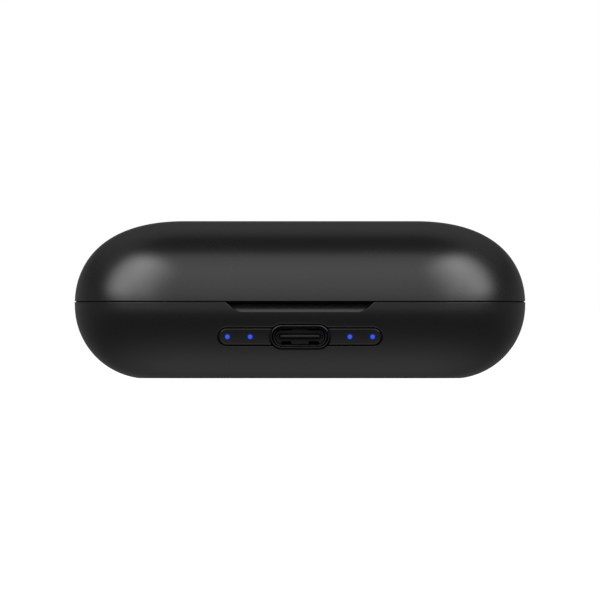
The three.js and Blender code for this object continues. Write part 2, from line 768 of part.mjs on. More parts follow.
place('cradle', makeCradle(), innerBlack);
[-1, 1].forEach((side) => {
  const name = side < 0 ? 'left' : 'right';
  const x = side * pin.x;
  const { halfX, halfY, thickness } = contactBoard;
  const strip = box(x - halfX, x + halfX, -halfY, halfY, pin.footZ - thickness, pin.footZ);
  place(`contact_board_${name}`, strip, boardGreen);
  const magnetDisc = ({ r, height, x: from, y }, z) => bar('z', r, z, z + height, side * from, y, 16);
  place(`bud_magnet_${name}`, magnetDisc(budMagnet, budMagnet.z), nickel);
  place(`base_magnet_${name}`, magnetDisc(magnet, baseLedgeZ + magnet.sunk - magnet.height), nickel);
  place(`lid_magnet_${name}`, magnetDisc(magnet, lidLedgeZ - magnet.sunk), nickel, lid);
});

const pinPlaces = [-1, 1].flatMap((side) => [-1, 1].map((end) => [side * pin.x, end * pin.spread]));
pinPlaces.forEach(([x, y], i) => {
  place(`pogo_barrel_${i + 1}`, makePogoBarrel(), gold).position.set(x, y, 0);
  place(`pogo_plunger_${i + 1}`, makePogoPlunger(), gold).position.set(x, y, 0);
  place(`pogo_spring_${i + 1}`, makePogoSpring(), steel).position.set(x, y, 0);
});

const pinHalf = hinge.baseHalf - 0.4;
place('hinge_pin', hingeBar(hinge.pinR, -pinHalf, pinHalf), steel);
place('lid_shell', makeLidShell(), shellBlack, lid);
place('lid_liner', makeLidLiner(), innerBlack, lid);

export default earbudCase;
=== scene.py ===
import math

import bpy
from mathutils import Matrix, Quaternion, Vector


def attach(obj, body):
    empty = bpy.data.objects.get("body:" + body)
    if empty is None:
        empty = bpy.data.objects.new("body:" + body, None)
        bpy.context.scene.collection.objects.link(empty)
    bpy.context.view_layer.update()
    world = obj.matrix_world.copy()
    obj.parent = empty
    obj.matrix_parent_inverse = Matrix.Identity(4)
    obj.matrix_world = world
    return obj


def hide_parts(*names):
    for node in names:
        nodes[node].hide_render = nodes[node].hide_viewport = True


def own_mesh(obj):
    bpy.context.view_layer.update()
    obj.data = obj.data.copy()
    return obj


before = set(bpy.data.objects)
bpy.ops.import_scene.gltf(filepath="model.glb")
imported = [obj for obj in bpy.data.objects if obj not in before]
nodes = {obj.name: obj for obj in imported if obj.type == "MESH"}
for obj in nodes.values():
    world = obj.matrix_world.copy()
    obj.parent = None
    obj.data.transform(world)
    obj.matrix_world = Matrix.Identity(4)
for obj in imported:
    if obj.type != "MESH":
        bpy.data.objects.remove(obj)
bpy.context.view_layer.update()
mm = 0.001
print("stage: frame loaded,", len(nodes), "nodes")

# ---- camera, floor and lights

cameraView = {"distance": 4000, "height": 12.84, "frameWidth": 98.56, "sensor": 36, "nearest": 50}

bpy.ops.object.camera_add(
    location=(0, -cameraView["distance"] * mm, cameraView["height"] * mm),
    rotation=(math.radians(90), 0, 0),
)
camera = bpy.context.object
camera.data.sensor_width = cameraView["sensor"]
camera.data.lens = cameraView["sensor"] * cameraView["distance"] / cameraView["frameWidth"]
camera.data.clip_start = cameraView["nearest"] * mm
bpy.context.scene.camera = camera
bpy.context.scene.view_settings.view_transform = "Standard"


def linear(hexText):
    # an sRGB hex colour as the linear colour that a shader takes
    parts = [int(hexText[i : i + 2], 16) / 255 for i in (1, 3, 5)]
    return [c / 12.92 if c <= 0.04045 else ((c + 0.055) / 1.055) ** 2.4 for c in parts] + [1]


def addNode(tree, kind, settings=None, links=None):
    # one shader node with its sockets or options set and its inputs joined up; gives its outputs
    made = tree.nodes.new("ShaderNode" + kind)
    for name, value in (settings or {}).items():
        if isinstance(name, int) or name in made.inputs:
            made.inputs[name].default_value = value
        else:
            setattr(made, name, value)
    for name, source in (links or {}).items():
        tree.links.new(source, made.inputs[name])
    return made.outputs


# Softboxes: azimuth is measured from the front towards +X, wide and tall are angles seen from the
# case. fade is how far from each side (left, right, low, high) the light takes to reach its full
# strength, as a share of the half size. The two at the sides mirror each other.
sideBox = {
    "azimuth": 57.5, "elevation": 34, "wide": 78, "tall": 74, "roll": 11, "radiance": 7.5,
    "fade": (1.99, 0.95, 0.57, 0.58),
}
frontBox = {
    "azimuth": 0, "elevation": 38.5, "wide": 103, "tall": 98, "roll": 0, "radiance": 1.1,
    "fade": (0.25, 0.25, 0.66, 0.5),
}
boxDistance = 900


def addSoftbox(name, box, hand=1):
    # a wide lamp whose light fades towards its edges, as through a diffuser; hand is -1 on the left
    turn, lift = math.radians(hand * box["azimuth"]), math.radians(box["elevation"])
    reach = boxDistance * mm
    way = Vector((math.sin(turn) * math.cos(lift), -math.cos(turn) * math.cos(lift), math.sin(lift)))
    bpy.ops.object.light_add(type="AREA", location=way * reach)
    lamp = bpy.context.object
    lamp.name = lamp.data.name = name
    facing = way.to_track_quat("Z", "Y") @ Quaternion((0, 0, 1), math.radians(hand * box["roll"]))
    lamp.rotation_euler = facing.to_euler()
    lamp.data.shape = "RECTANGLE"
    lamp.data.size = 2 * reach * math.tan(math.radians(box["wide"] / 2))
    lamp.data.size_y = 2 * reach * math.tan(math.radians(box["tall"] / 2))
    lamp.data.energy = box["radiance"] * lamp.data.size * lamp.data.size_y * math.pi
    lamp.visible_camera = False
    lamp.data.use_nodes = True
    tree = lamp.data.node_tree
    place = addNode(tree, "NewGeometry")["Parametric"]
    across = addNode(tree, "SeparateXYZ", links={0: place})
    level = None
    for axis, fades in (("X", box["fade"][:2][::hand]), ("Y", box["fade"][2:])):
        for start, fade in zip((0, 1), fades):
            limits = {"From Min": start, "From Max": abs(start - fade / 2)}
            limits["interpolation_type"] = "SMOOTHSTEP"
            edge = addNode(tree, "MapRange", limits, {"Value": across[axis]})[0]
            both = {0: level, 1: edge}
            level = addNode(tree, "Math", {"operation": "MULTIPLY"}, both)[0] if level else edge
    tree.links.new(level, tree.nodes["Emission"].inputs["Strength"])


addSoftbox("sideRight", sideBox)
addSoftbox("sideLeft", sideBox, -1)
addSoftbox("front", frontBox)

# The room: white behind the case for the camera. For all that the case mirrors, a dim grey that
# changes with the height of the direction, apart in front and behind: (angle above level, grey).
# turnOver is where one half gives way to the other, from the front (-1) to the back (1).
room = {
    "ahead": [
        (-90, 0.58), (-60, 0.34), (-45, 0.2), (-30, 0.12), (-15, 0.07), (-6, 0.14), (3, 0.06),
        (30, 0.12), (90, 0),
    ],
    "behind": [
        (-90, 0.58), (-75, 0.5), (-60, 0.37), (-45, 0.2), (-30, 0.1), (-10, 0.13), (4, 0.15),
        (20, 0.07), (32, 0.14), (52, 0.2), (68, 0),
    ],
    "turnOver": (-0.1, 0.35),
}


def buildRoom():
    world = bpy.data.worlds.new("studio")
    bpy.context.scene.world = world
    world.use_nodes = True
    tree = world.node_tree
    tree.nodes.clear()
    way = addNode(tree, "TexCoord")["Generated"]
    parts = addNode(tree, "SeparateXYZ", links={0: way})
    lift = addNode(tree, "Math", {"operation": "ARCSINE"}, {0: parts["Z"]})[0]
    limits = {"From Min": -math.pi / 2, "From Max": math.pi / 2}
    rise = addNode(tree, "MapRange", limits, {"Value": lift})
    half = {}
    for place in ("ahead", "behind"):
        half[place] = addNode(tree, "ValToRGB", links={"Fac": rise[0]})[0]
        stops = half[place].node.color_ramp.elements
        while len(stops) < len(room[place]):
            stops.new(0.5)
        for stop, (angle, grey) in zip(stops, room[place]):
            stop.position = (angle + 90) / 180
            stop.color = [grey] * 3 + [1]
    low, high = room["turnOver"]
    limits = {"From Min": low, "From Max": high, "interpolation_type": "SMOOTHSTEP"}
    depth = addNode(tree, "MapRange", limits, {"Value": parts["Y"]})[0]
    grey = addNode(tree, "Mix", {"data_type": "RGBA"}, {0: depth, 6: half["ahead"], 7: half["behind"]})
    dim = addNode(tree, "Background", links={"Color": grey[2]})
    white = addNode(tree, "Background", {"Color": (1, 1, 1, 1), "Strength": 1.0})
    seen = addNode(tree, "LightPath")["Is Camera Ray"]
    both = addNode(tree, "MixShader", links={0: seen, 1: dim[0], 2: white[0]})
    addNode(tree, "OutputWorld", links={"Surface": both[0]})


buildRoom()

floorLook = {"size": 40000, "drop": 0.02, "glow": 1.02, "paper": 0.12}

bpy.ops.mesh.primitive_plane_add(size=floorLook["size"] * mm, location=(0, 0, -floorLook["drop"] * mm))
floor = bpy.context.object
floor.name = "studio_floor"
floor.visible_glossy = False
floor.visible_diffuse = False
floor.visible_shadow = False

# Backlit white acrylic: its own even light, with a little of the room's on top.
acrylic = bpy.data.materials.new("backlit white acrylic")
acrylic.use_nodes = True
shader = acrylic.node_tree.nodes["Principled BSDF"]
shader.inputs["Base Color"].default_value = [floorLook["paper"]] * 3 + [1]
shader.inputs["Roughness"].default_value = 1.0
shader.inputs["Specular IOR Level"].default_value = 0.0
shader.inputs["Emission Color"].default_value = (1, 1, 1, 1)
shader.inputs["Emission Strength"].default_value = floorLook["glow"]
floor.data.materials.append(acrylic)
print("stage: camera, lights and floor")

# ---- modelling by hand

weldGap = 0.001


def setMode(mode):
    bpy.ops.object.mode_set(mode=mode)


def clearSelection():
    if bpy.context.object and bpy.context.object.mode != "OBJECT":
        setMode("OBJECT")
    bpy.ops.object.select_all(action="DESELECT")


def pick(piece):
    clearSelection()
    piece.select_set(True)
    bpy.context.view_layer.objects.active = piece


def selectMesh(action="SELECT"):
    bpy.ops.mesh.select_all(action=action)


def openPiece(piece, mode="VERT"):
    pick(piece)
    setMode("EDIT")
    bpy.ops.mesh.select_mode(type=mode)


def startPiece(name):
    # an empty mesh at the origin, open for editing
    clearSelection()
    bpy.ops.mesh.primitive_plane_add(size=mm)
    piece = bpy.context.object
    piece.name = piece.data.name = name
    openPiece(piece)
    selectMesh()
    bpy.ops.mesh.delete(type="VERT")
    return piece


def drawLine(points):
    # a wire through the points: one corner, extruded from each place to the next
    points = [Vector(point) * mm for point in points]
    selectMesh("DESELECT")
    bpy.ops.mesh.primitive_plane_add(size=mm, location=points[0])
    bpy.ops.mesh.merge(type="CENTER")
    for here, there in zip(points, points[1:]):
        bpy.ops.mesh.extrude_vertices_move(TRANSFORM_OT_translate={"value": there - here})


def drawRing(name, points):
    # a new piece that holds one closed wire, selected
    piece = startPiece(name)
    drawLine(points + points[:1])
    selectMesh()
    bpy.ops.mesh.remove_doubles(threshold=mm * weldGap)
    selectMesh()
    return piece


def shift(x=0, y=0, z=0, steps=1):
    # extrudes what is selected, in even steps
    way = Vector((x, y, z)) * mm / steps
    for _ in range(steps):
        bpy.ops.mesh.extrude_region_move(TRANSFORM_OT_translate={"value": way})


def weld():
    selectMesh()
    bpy.ops.mesh.remove_doubles(threshold=mm * weldGap)
    bpy.ops.mesh.dissolve_degenerate(threshold=mm * weldGap / 2)
    faceOut()


def faceOut():
    selectMesh()
    bpy.ops.mesh.normals_make_consistent(inside=False)


def applyAll(piece):
    pick(piece)
    for change in list(piece.modifiers):
        bpy.ops.object.modifier_apply(modifier=change.name)


def joined(*pieces):
    # several meshes as the loose parts of the first
    pick(pieces[0])
    for piece in pieces:
        piece.select_set(True)
    if len(pieces) > 1:
        bpy.ops.object.join()
    return pieces[0]


def combine(piece, tool, how="DIFFERENCE", overlaps=False):
    change = piece.modifiers.new("combine", "BOOLEAN")
    change.operation, change.solver, change.object = how, "EXACT", tool
    change.use_self = overlaps
    applyAll(piece)
    bpy.data.objects.remove(tool)


pillForm = {"halfStraight": 19, "turnSteps": 64, "straightSteps": 24}


def sweepPill(name, profile, turnSteps=pillForm["turnSteps"], straightSteps=pillForm["straightSteps"]):
    # A section of (distance from the centre line, height), swept along the front, round one end and
    # back, then mirrored. Its first and last points are on the centre line.
    half = pillForm["halfStraight"]
    piece = startPiece(name)
    drawLine([(0, -r, z) for r, z in profile])
    selectMesh()
    shift(x=half, steps=straightSteps)
    bpy.ops.mesh.spin(steps=turnSteps, angle=math.pi, center=(half * mm, 0, 0), axis=(0, 0, -1))
    shift(x=-half, steps=straightSteps)
    weld()
    setMode("OBJECT")
    piece.modifiers.new("mirror", "MIRROR").merge_threshold = mm * weldGap
    applyAll(piece)
    openPiece(piece)
    weld()
    clearSelection()
    return piece


def pillPlate(name, radius, low, high):
    return sweepPill(name, [(0, low), (radius, low), (radius, high), (0, high)], 40, 8)


def turnPiece(name, profile, at=(0, 0), sides=40):
    # a section of (radius, height), spun once round an upright axis through at
    piece = startPiece(name)
    drawLine([(at[0] + r, at[1], z) for r, z in profile])
    selectMesh()
    bpy.ops.mesh.spin(steps=sides, angle=2 * math.pi, center=(at[0] * mm, at[1] * mm, 0), axis=(0, 0, 1))
    weld()
    clearSelection()
    return piece


def skin(name, rings, closed=False):
    # closed rings with as many points each, drawn and bridged in order; open ends are capped
    around = len(rings[0])
    piece = startPiece(name)
    for ring in rings:
        drawLine(list(ring) + [ring[0]])
    selectMesh()
    bpy.ops.mesh.remove_doubles(threshold=mm * weldGap / 10)

    def selectRings(*which):
        selectMesh("DESELECT")
        setMode("OBJECT")
        for i in which:
            for corner in piece.data.vertices[i * around : (i + 1) * around]:
                corner.select = True
        setMode("EDIT")

    last = len(rings) - 1
    pairs = [(i, i + 1) for i in range(last)] + ([(last, 0)] if closed else [])
    for pair in pairs:
        selectRings(*pair)
        bpy.ops.mesh.bridge_edge_loops()
    for end in () if closed else (0, last):
        selectRings(end)
        bpy.ops.mesh.edge_face_add()
    faceOut()
    clearSelection()
    return piece


def namePlaced(name):
    # names the new primitive and puts its place, turn and size into its mesh
    piece = bpy.context.object
    piece.name = piece.data.name = name
    bpy.ops.object.transform_apply(location=True, rotation=True, scale=True)
    return piece


def addBar(name, radius, start, end, sides=48, bevel=0):
    # a round bar along one axis, with the edges of its ends rounded
    start, end = Vector(start) * mm, Vector(end) * mm
    clearSelection()
    bpy.ops.mesh.primitive_cylinder_add(
        vertices=sides,
        radius=radius * mm,
        depth=(end - start).length,
        location=(start + end) / 2,
        rotation=(end - start).to_track_quat("Z", "Y").to_euler(),
    )
    piece = namePlaced(name)
    if bevel:
        roundEdges(piece, bevel, lambda face: len(face.vertices) > 4)
    clearSelection()
    return piece


def uprights(name, radius, spots, low, high, sides=32):
    # upright bars of one size at several places
    return [addBar(name, radius, (x, y, low), (x, y, high), sides) for x, y in spots]


def cutSlab(name, low, high, front=-20):
    # a block between two heights that reaches well past the case, to cut a whole side away
    return addBlock(name, (-40, front, low), (40, 20, high))


def addBlock(name, low, high, bevel=0, segments=3):
    # a block between two corners, its edges rounded
    low, high = Vector(low) * mm, Vector(high) * mm
    clearSelection()
    bpy.ops.mesh.primitive_cube_add(size=1, location=(low + high) / 2)
    bpy.context.object.scale = high - low
    piece = namePlaced(name)
    if bevel:
        roundEdges(piece, bevel, lambda face: True, segments)
    clearSelection()
    return piece


def roundEdges(piece, radius, wanted, segments=4):
    # bevels the edges of the faces that pass the test
    openPiece(piece, "FACE")
    selectMesh("DESELECT")
    setMode("OBJECT")
    for face in piece.data.polygons:
        face.select = wanted(face)
    setMode("EDIT")
    bpy.ops.mesh.bevel(offset=radius * mm, segments=segments, affect="EDGES")
    bpy.ops.mesh.select_mode(type="VERT")
    clearSelection()


def copyPiece(piece, name, x=0, y=0):
    # a copy with its own mesh, moved within the mesh
    pick(piece)
    bpy.ops.object.duplicate(linked=False)
    twin = bpy.context.object
    twin.name = twin.data.name = name
    openPiece(twin)
    selectMesh()
    bpy.ops.transform.translate(value=(x * mm, y * mm, 0))
    clearSelection()
    return twin


def finishPiece(piece, body, replaced, surface, smoothTo=32):
    # smooth shading up to an angle, then its finish, its body and the node it stands for
    pick(piece)
    bpy.ops.object.shade_smooth_by_angle(angle=math.radians(smoothTo))
    piece.data.materials.clear()
    piece.data.materials.append(surface)
    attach(piece, body)
    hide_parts(replaced)
    clearSelection()
    print("piece:", piece.name, len(piece.data.polygons), "faces")


# ---- finishes


def startMaterial(name):
    surface = bpy.data.materials.new(name)
    surface.use_nodes = True
    tree = surface.node_tree
    place = addNode(tree, "TexCoord")["Object"]
    return surface, tree, tree.nodes["Principled BSDF"], place


def feedShader(tree, shader, sources):
    for socket, source in sources.items():
        tree.links.new(source, shader.inputs[socket])


def makeFinish(name, look):
    # Two clouds of noise, grain and broad millimetres across. On plastic the fine one is the tool's
    # grain, which tints the surface, and the broad one is the flow of the melt, which changes its
    # sheen. Metal has a stretch: its fine noise is drawn out into tool lines, which change the
    # sheen, and the broad one is faint stains. The fine one is the bump of both.
    surface, tree, shader, place = startMaterial(name)
    metal = "stretch" in look
    along = place
    if metal:
        along = addNode(tree, "Mapping", {"Scale": look["stretch"]}, {"Vector": place})[0]
    settings = {"Scale": 1 / (look["grain"] * mm), "Detail": 3, "Roughness": 0.6}
    fine = addNode(tree, "TexNoise", settings, {"Vector": along})["Fac"]
    settings = {"Scale": 1 / (look["broad"] * mm), "Detail": 2, "Roughness": 0.5}
    broad = addNode(tree, "TexNoise", settings, {"Vector": place})["Fac"]
    tintBy, sheenBy = (broad, fine) if metal else (fine, broad)
    shades = {"data_type": "RGBA", 6: linear(look["dark"]), 7: linear(look["light"])}
    wander = look.get("wander", 0.05 if metal else 0.02)
    limits = {"From Min": 0.3, "From Max": 0.7}
    limits.update({"To Min": look["roughness"] - wander, "To Max": look["roughness"] + wander})
    lift = {"Strength": look.get("strength", 0.6 if metal else 1.0), "Distance": look["depth"] * mm}
    sources = {
        "Base Color": addNode(tree, "Mix", shades, {0: tintBy})[2],
        "Roughness": addNode(tree, "MapRange", limits, {"Value": sheenBy})[0],
        "Normal": addNode(tree, "Bump", lift, {"Height": fine})[0],
    }
    feedShader(tree, shader, sources)
    if metal:
        shader.inputs["Metallic"].default_value = 1.0
    else:
        shader.inputs["IOR"].default_value = look.get("ior", 1.5)
    return surface


# Satin black polycarbonate blend, moulded in a finely spark-eroded tool: a soft sheen with a slight
# sparkle. The grain is drawn at 0.17 mm, about twice the real one, so that it shows.
satinShell = makeFinish("satin moulded polycarbonate", {
    "dark": "#0d0d0d", "light": "#131313", "roughness": 0.27, "wander": 0.008, "grain": 0.17, "broad": 9,
    "depth": 0.004, "strength": 0.5,
})

# The port trim is ABS from a smoother tool: the same black, with a slightly tighter sheen.
satinTrim = makeFinish("satin moulded ABS", {
    "dark": "#0b0b0b", "light": "#101010", "roughness": 0.24, "wander": 0.01, "grain": 0.13, "broad": 6,
    "depth": 0.002, "strength": 0.4,
})

# The tray and the lid's liner: ABS moulded matt, so that fingermarks don't show.
mattAbs = makeFinish("matt moulded ABS", {
    "dark": "#0e0e0f", "light": "#18181a", "roughness": 0.48, "grain": 0.22, "broad": 12, "depth": 0.008,
})

# Liquid-crystal polymer of the connector's core: dull, with short fibres that grey it.
connectorPolymer = makeFinish("moulded liquid crystal polymer", {
    "dark": "#0b0b0c", "light": "#121213", "roughness": 0.38, "grain": 0.1, "broad": 3, "depth": 0.003,
})

# Stamped stainless shell of the connector, dark plated: faint draw marks along its depth.
platedSteel = makeFinish("black nickel plated steel", {
    "dark": "#202022", "light": "#2e2e30", "roughness": 0.44, "grain": 0.08, "stretch": (1, 0.12, 1),
    "broad": 1.8, "depth": 0.002,
})

# Hard-drawn stainless wire and rod: bright, with fine lines along the draw.
drawnSteel = makeFinish("drawn stainless steel", {
    "dark": "#8e9093", "light": "#a9abae", "roughness": 0.28, "grain": 0.06, "stretch": (0.08, 1, 1),
    "broad": 2.5, "depth": 0.002,
})

# Gold over nickel on turned brass: a warm, fairly bright metal with turning rings.
goldPlate = makeFinish("gold plated brass", {
    "dark": "#c6942f", "light": "#e0b454", "roughness": 0.22, "grain": 0.05, "stretch": (0.2, 0.2, 1),
    "broad": 0.7, "depth": 0.001,
})

# Bright nickel on screws and magnets: a clean, slightly warm mirror.
nickelPlate = makeFinish("bright nickel plate", {
    "dark": "#a4a4a2", "light": "#bfbfbc", "roughness": 0.2, "grain": 0.07, "stretch": (1, 1, 0.3),
    "broad": 1.2, "depth": 0.001,
})

# Aluminium laminate of the cell's pouch: a soft metal foil that dents in shallow waves.
pouchFoil = makeFinish("aluminium laminate foil", {
    "dark": "#a9acb0", "light": "#c4c6c9", "roughness": 0.36, "grain": 1.6, "stretch": (1, 1, 1),
    "broad": 4, "depth": 0.05, "strength": 0.5,
})

# Epoxy of the chips: dull black with a mould grain.
chipEpoxy = makeFinish("moulded epoxy", {
    "dark": "#18191a", "light": "#25262a", "roughness": 0.55, "grain": 0.12, "broad": 2, "depth": 0.004,
})

# White reflector plastic of the light sources, slightly warm.
ledPackage = makeFinish("white reflector plastic", {
    "dark": "#dedbcc", "light": "#ebe9dd", "roughness": 0.4, "grain": 0.1, "broad": 1, "depth": 0.002,
})

# Black closed-cell foam tape: open pits where the cells were cut.
cutFoam = makeFinish("closed-cell foam", {
    "dark": "#141414", "light": "#303030", "roughness": 0.9, "grain": 0.3, "broad": 3, "depth": 0.08,
    "ior": 1.4,
})

# PVC over the two leads, extruded smooth.
pvc = {"roughness": 0.38, "grain": 0.2, "broad": 2, "depth": 0.003}
redPvc = makeFinish("red extruded PVC", {"dark": "#97130f", "light": "#b01d18", **pvc})
blackPvc = makeFinish("black extruded PVC", {"dark": "#101010", "light": "#171717", **pvc})

# Unfilled nylon of the cell's socket: cream, faintly translucent, drawn here as an even sheen.
creamNylon = makeFinish("moulded nylon", {
    "dark": "#ddd3b8", "light": "#ebe3cd", "roughness": 0.42, "grain": 0.15, "broad": 2, "depth": 0.003,
})


def makeBoard():
    # Glass-epoxy board under green solder mask: the 0.5 mm glass weave telegraphs through, and
    # copper areas under the mask are lighter and stand 0.03 mm proud.
    look = {"weave": 0.5, "copper": 1.1, "step": 0.03, "mask": "#0d2a1a", "overCopper": "#1a4a2e"}
    surface, tree, shader, place = startMaterial("solder masked glass epoxy")
    rings = {"wave_type": "RINGS", "rings_direction": "Z", "Distortion": 2.0}
    rings["Scale"] = 0.3 / (look["weave"] * mm)
    weave = addNode(tree, "TexWave", rings, {"Vector": place})["Fac"]
    cells = {"feature": "F1", "distance": "MANHATTAN", "Scale": 1 / (look["copper"] * mm)}
    areas = addNode(tree, "TexVoronoi", cells, {"Vector": place})["Distance"]
    limits = {"From Min": 0.42, "From Max": 0.46}
    copper = addNode(tree, "MapRange", limits, {"Value": areas})[0]
    shades = {"data_type": "RGBA", 6: linear(look["mask"]), 7: linear(look["overCopper"])}
    sources = {
        "Base Color": addNode(tree, "Mix", shades, {0: copper})[2],
        "Roughness": addNode(tree, "MapRange", {"To Min": 0.3, "To Max": 0.42}, {"Value": weave})[0],
        "Normal": addNode(tree, "Bump", {"Distance": look["step"] * mm}, {"Height": copper})[0],
    }
    feedShader(tree, shader, sources)
    return surface


solderMask = makeBoard()


# The four windows stand in two pairs beside the port.
lights = {"near": 8.16, "far": 11.88, "height": 6.81, "radius": 0.32, "hole": 0.36, "edge": 0.06}
windowPlaces = [side * lights[key] for side, key in ((-1, "far"), (-1, "near"), (1, "near"), (1, "far"))]


def makeGlow():
    # Clear polycarbonate lit blue from behind: brightest in the middle of each window, where the
    # source sits, and raised towards its top as a painted highlight. The body colour is lightened there
    # too, as painted light of the source. Both pairs of windows stand the same distance apart.
    look = {"edge": "#1f48e8", "middle": "#345efb", "glow": 1.0, "reach": 0.32, "lift": 0.1}
    look.update({"edgeBody": "#0a1340", "middleBody": "#101c55", "roughness": 0.18, "ior": 1.58})
    surface, tree, shader, place = startMaterial("blue lit polycarbonate")
    parts = addNode(tree, "SeparateXYZ", links={0: place})
    side = addNode(tree, "Math", {"operation": "ABSOLUTE"}, {0: parts["X"]})[0]
    pitch = (lights["far"] - lights["near"]) * mm
    low = lights["near"] * mm - pitch / 2
    window = addNode(tree, "Math", {"operation": "WRAP", 1: low + pitch, 2: low}, {0: side})
    # lift raises the bright middle above the source: a painted highlight towards the window's top
    rise = lights["height"] + look["lift"]
    off = {}
    for axis, source, at in (("X", window[0], lights["near"]), ("Y", parts["Z"], rise)):
        off[axis] = addNode(tree, "Math", {"operation": "SUBTRACT", 1: at * mm}, {0: source})[0]
    flat = addNode(tree, "CombineXYZ", links=off)[0]
    away = addNode(tree, "VectorMath", {"operation": "LENGTH"}, {0: flat})["Value"]
    limits = {"From Min": 0, "From Max": look["reach"] * mm, "To Min": 1, "To Max": 0}
    middle = addNode(tree, "MapRange", limits, {"Value": away})[0]
    # the body colour follows the same mask: its lighter middle is painted light of the source behind
    for socket, kind in (("Emission Color", ""), ("Base Color", "Body")):
        shades = {"data_type": "RGBA", 6: linear(look["edge" + kind]), 7: linear(look["middle" + kind])}
        feedShader(tree, shader, {socket: addNode(tree, "Mix", shades, {0: middle})[2]})
    shader.inputs["Emission Strength"].default_value = look["glow"]
    shader.inputs["Roughness"].default_value = look["roughness"]
    shader.inputs["IOR"].default_value = look["ior"]
    return surface


blueGlow = makeGlow()
print("stage: finishes")

# ---- outlines of the case

# what both shells share, so that one closes on the other
bothForm = {
    "radius": 18, "wall": 1.5, "seatRadius": 16.2, "ledgeRadius": 15.3, "lapRadius": 17.5,
}

baseForm = {
    **bothForm, "arcRadius": 12.05, "arcHeight": 11.95, "arcInset": 5.95, "footRing": 3.5,
    "ledgeHeight": 10.2, "ledgeRoot": -1.6, "seamHeight": 12.41, "seamRound": 0.03, "flare": 0.016,
    "lapHeight": 12.88, "arcSteps": 44, "innerSteps": 14,
}

lidForm = {
    **bothForm, "curveStart": 12.3, "sideHandle": 5.85, "topHandle": 14.25, "top": 25.8,
    "ledgeHeight": 14.4, "ledgeRoot": 1.3, "seamHeight": 12.6, "seamRound": 0.04, "flare": 0.004,
    "lapHeight": 13.05, "curveSteps": 52, "innerSteps": 16,
}

# A ring this close to a rounded edge keeps the wall beside it from shading as part of the round.
# lapRound rounds the lap's crest, and the inner wall stays ledgeClear away from the ledge.
holdRing = 0.03
lapRound = 0.1
ledgeClear = 1


def arcPoints(centreX, centreY, radius, start, end, steps):
    # points on an arc, its angles in degrees
    turns = [math.radians(start + (end - start) * i / steps) for i in range(steps + 1)]
    return [(centreX + radius * math.cos(t), centreY + radius * math.sin(t)) for t in turns]


def baseArc(inset, steps, lowest):
    # the round side of the base, drawn in by inset, from its bottom up to the widest place
    radius = baseForm["arcRadius"] - inset
    start = math.degrees(math.asin((lowest - baseForm["arcHeight"]) / radius))
    return arcPoints(baseForm["arcInset"], baseForm["arcHeight"], radius, start, 0, steps)


def lapAndSeat(form, way, inner):
    # Over the lap's rounded crest, along the seat to its ledge and on along the inner wall. way is
    # the direction of the ledge, up or down.
    seat, top, lap, ledge = form["seatRadius"], form["lapHeight"], form["lapRadius"], form["ledgeRadius"]
    points = [(lap + lapRound, top - lapRound), (lap, top - lapRound * 0.3), (lap - lapRound, top)]
    points += [(seat + lapRound, top), (seat, top + way * lapRound), (seat, form["ledgeHeight"])]
    points += [(ledge, form["ledgeHeight"]), (ledge, form["ledgeHeight"] + form["ledgeRoot"])]
    beyond = form["ledgeHeight"] + way * ledgeClear
    return points + [(r, z) for r, z in inner if way * (z - beyond) > 0 and r < ledge]


def baseProfile():
    # Up the outside, over the seam's rounded edge, up the slope that the lid laps over, and back
    # down the seat of the tray to the floor.
    form = baseForm
    edge = form["seamHeight"] - form["seamRound"] * math.tan(math.radians(22.5))
    side = form["radius"] + form["flare"]
    outer = baseArc(0, form["arcSteps"], 0) + [(side, edge - holdRing)]
    outer += arcPoints(side - form["seamRound"], edge, form["seamRound"], 0, 45, steps=3)
    inner = baseArc(form["wall"], form["innerSteps"], form["wall"])[::-1]
    return [(0, 0), (form["footRing"], 0)] + outer + lapAndSeat(form, -1, inner) + [(0, form["wall"])]


def lidCurve(inset, steps):
    # the crown's cubic curve from the upright side to the level top, drawn in by inset
    form = lidForm
    side, low, top = form["radius"], form["curveStart"], form["top"]
    corners = [(side, low), (side, low + form["sideHandle"]), (form["topHandle"], top), (0, top)]
    corners = [Vector(corner) for corner in corners]
    points = []
    for i in range(steps + 1):
        a, b, c = (here.lerp(there, i / steps) for here, there in zip(corners, corners[1:]))
        near, far = a.lerp(b, i / steps), b.lerp(c, i / steps)
        place, along = near.lerp(far, i / steps), (far - near).normalized()
        points.append((max(0, place.x - inset * along.y), place.y + inset * along.x))
    return points


def lidProfile():
    # Down the outside, round the seam's thin edge, up the slope inside it and up to the crown.
    form = lidForm
    edge = form["seamRound"]
    centre = form["seamHeight"] + edge * (1 + math.sqrt(2))
    outer = [p for p in lidCurve(0, form["curveSteps"]) if p[1] > centre + 0.1]
    side = min(lidCurve(0, 400), key=lambda p: abs(p[1] - centre))[0] + form["flare"]
    tip = [(side, centre + holdRing)] + arcPoints(side - edge, centre, edge, 0, -135, steps=8)
    return outer[::-1] + tip + lapAndSeat(form, 1, lidCurve(form["wall"], form["innerSteps"]))


def frontAt(z, depth):
    # y of the base's round front at a height, some depth below its surface
    drop = min(0, z - baseForm["arcHeight"])
    return -baseForm["arcInset"] - math.sqrt((baseForm["arcRadius"] - depth) ** 2 - drop**2)


def onFront(outline, depth):
    return [(x, frontAt(z, depth), z) for x, z in outline]


def mirrored(right):
    # a closed outline from its right half, drawn upwards from the bottom to the top
    return right + [(-x, z) for x, z in reversed(right)]


# padStart to padDepth is a thicker place in the base's wall, round the seat that holds the trim.
trimForm = {
    "height": 6.84, "halfLength": 13.3, "halfHeight": 1.35, "collarHalf": 2.94,
    "collarRadius": 1.93, "fillet": 0.8, "face": 0.05, "thickness": 0.85, "cutDepth": 1.4,
    "seatDepth": 1.0, "gap": 0.17, "edge": 0.19, "seatGap": 0.13, "seatEdge": 0.3, "ringEdge": 0.17,
    "grooveDepth": 0.6, "portWidth": 9.2, "portHeight": 3.34, "portClear": 0.1, "pipeHole": 0.56,
    "padGrow": 0.4, "padStart": 0.8, "padDepth": 2.1,
}


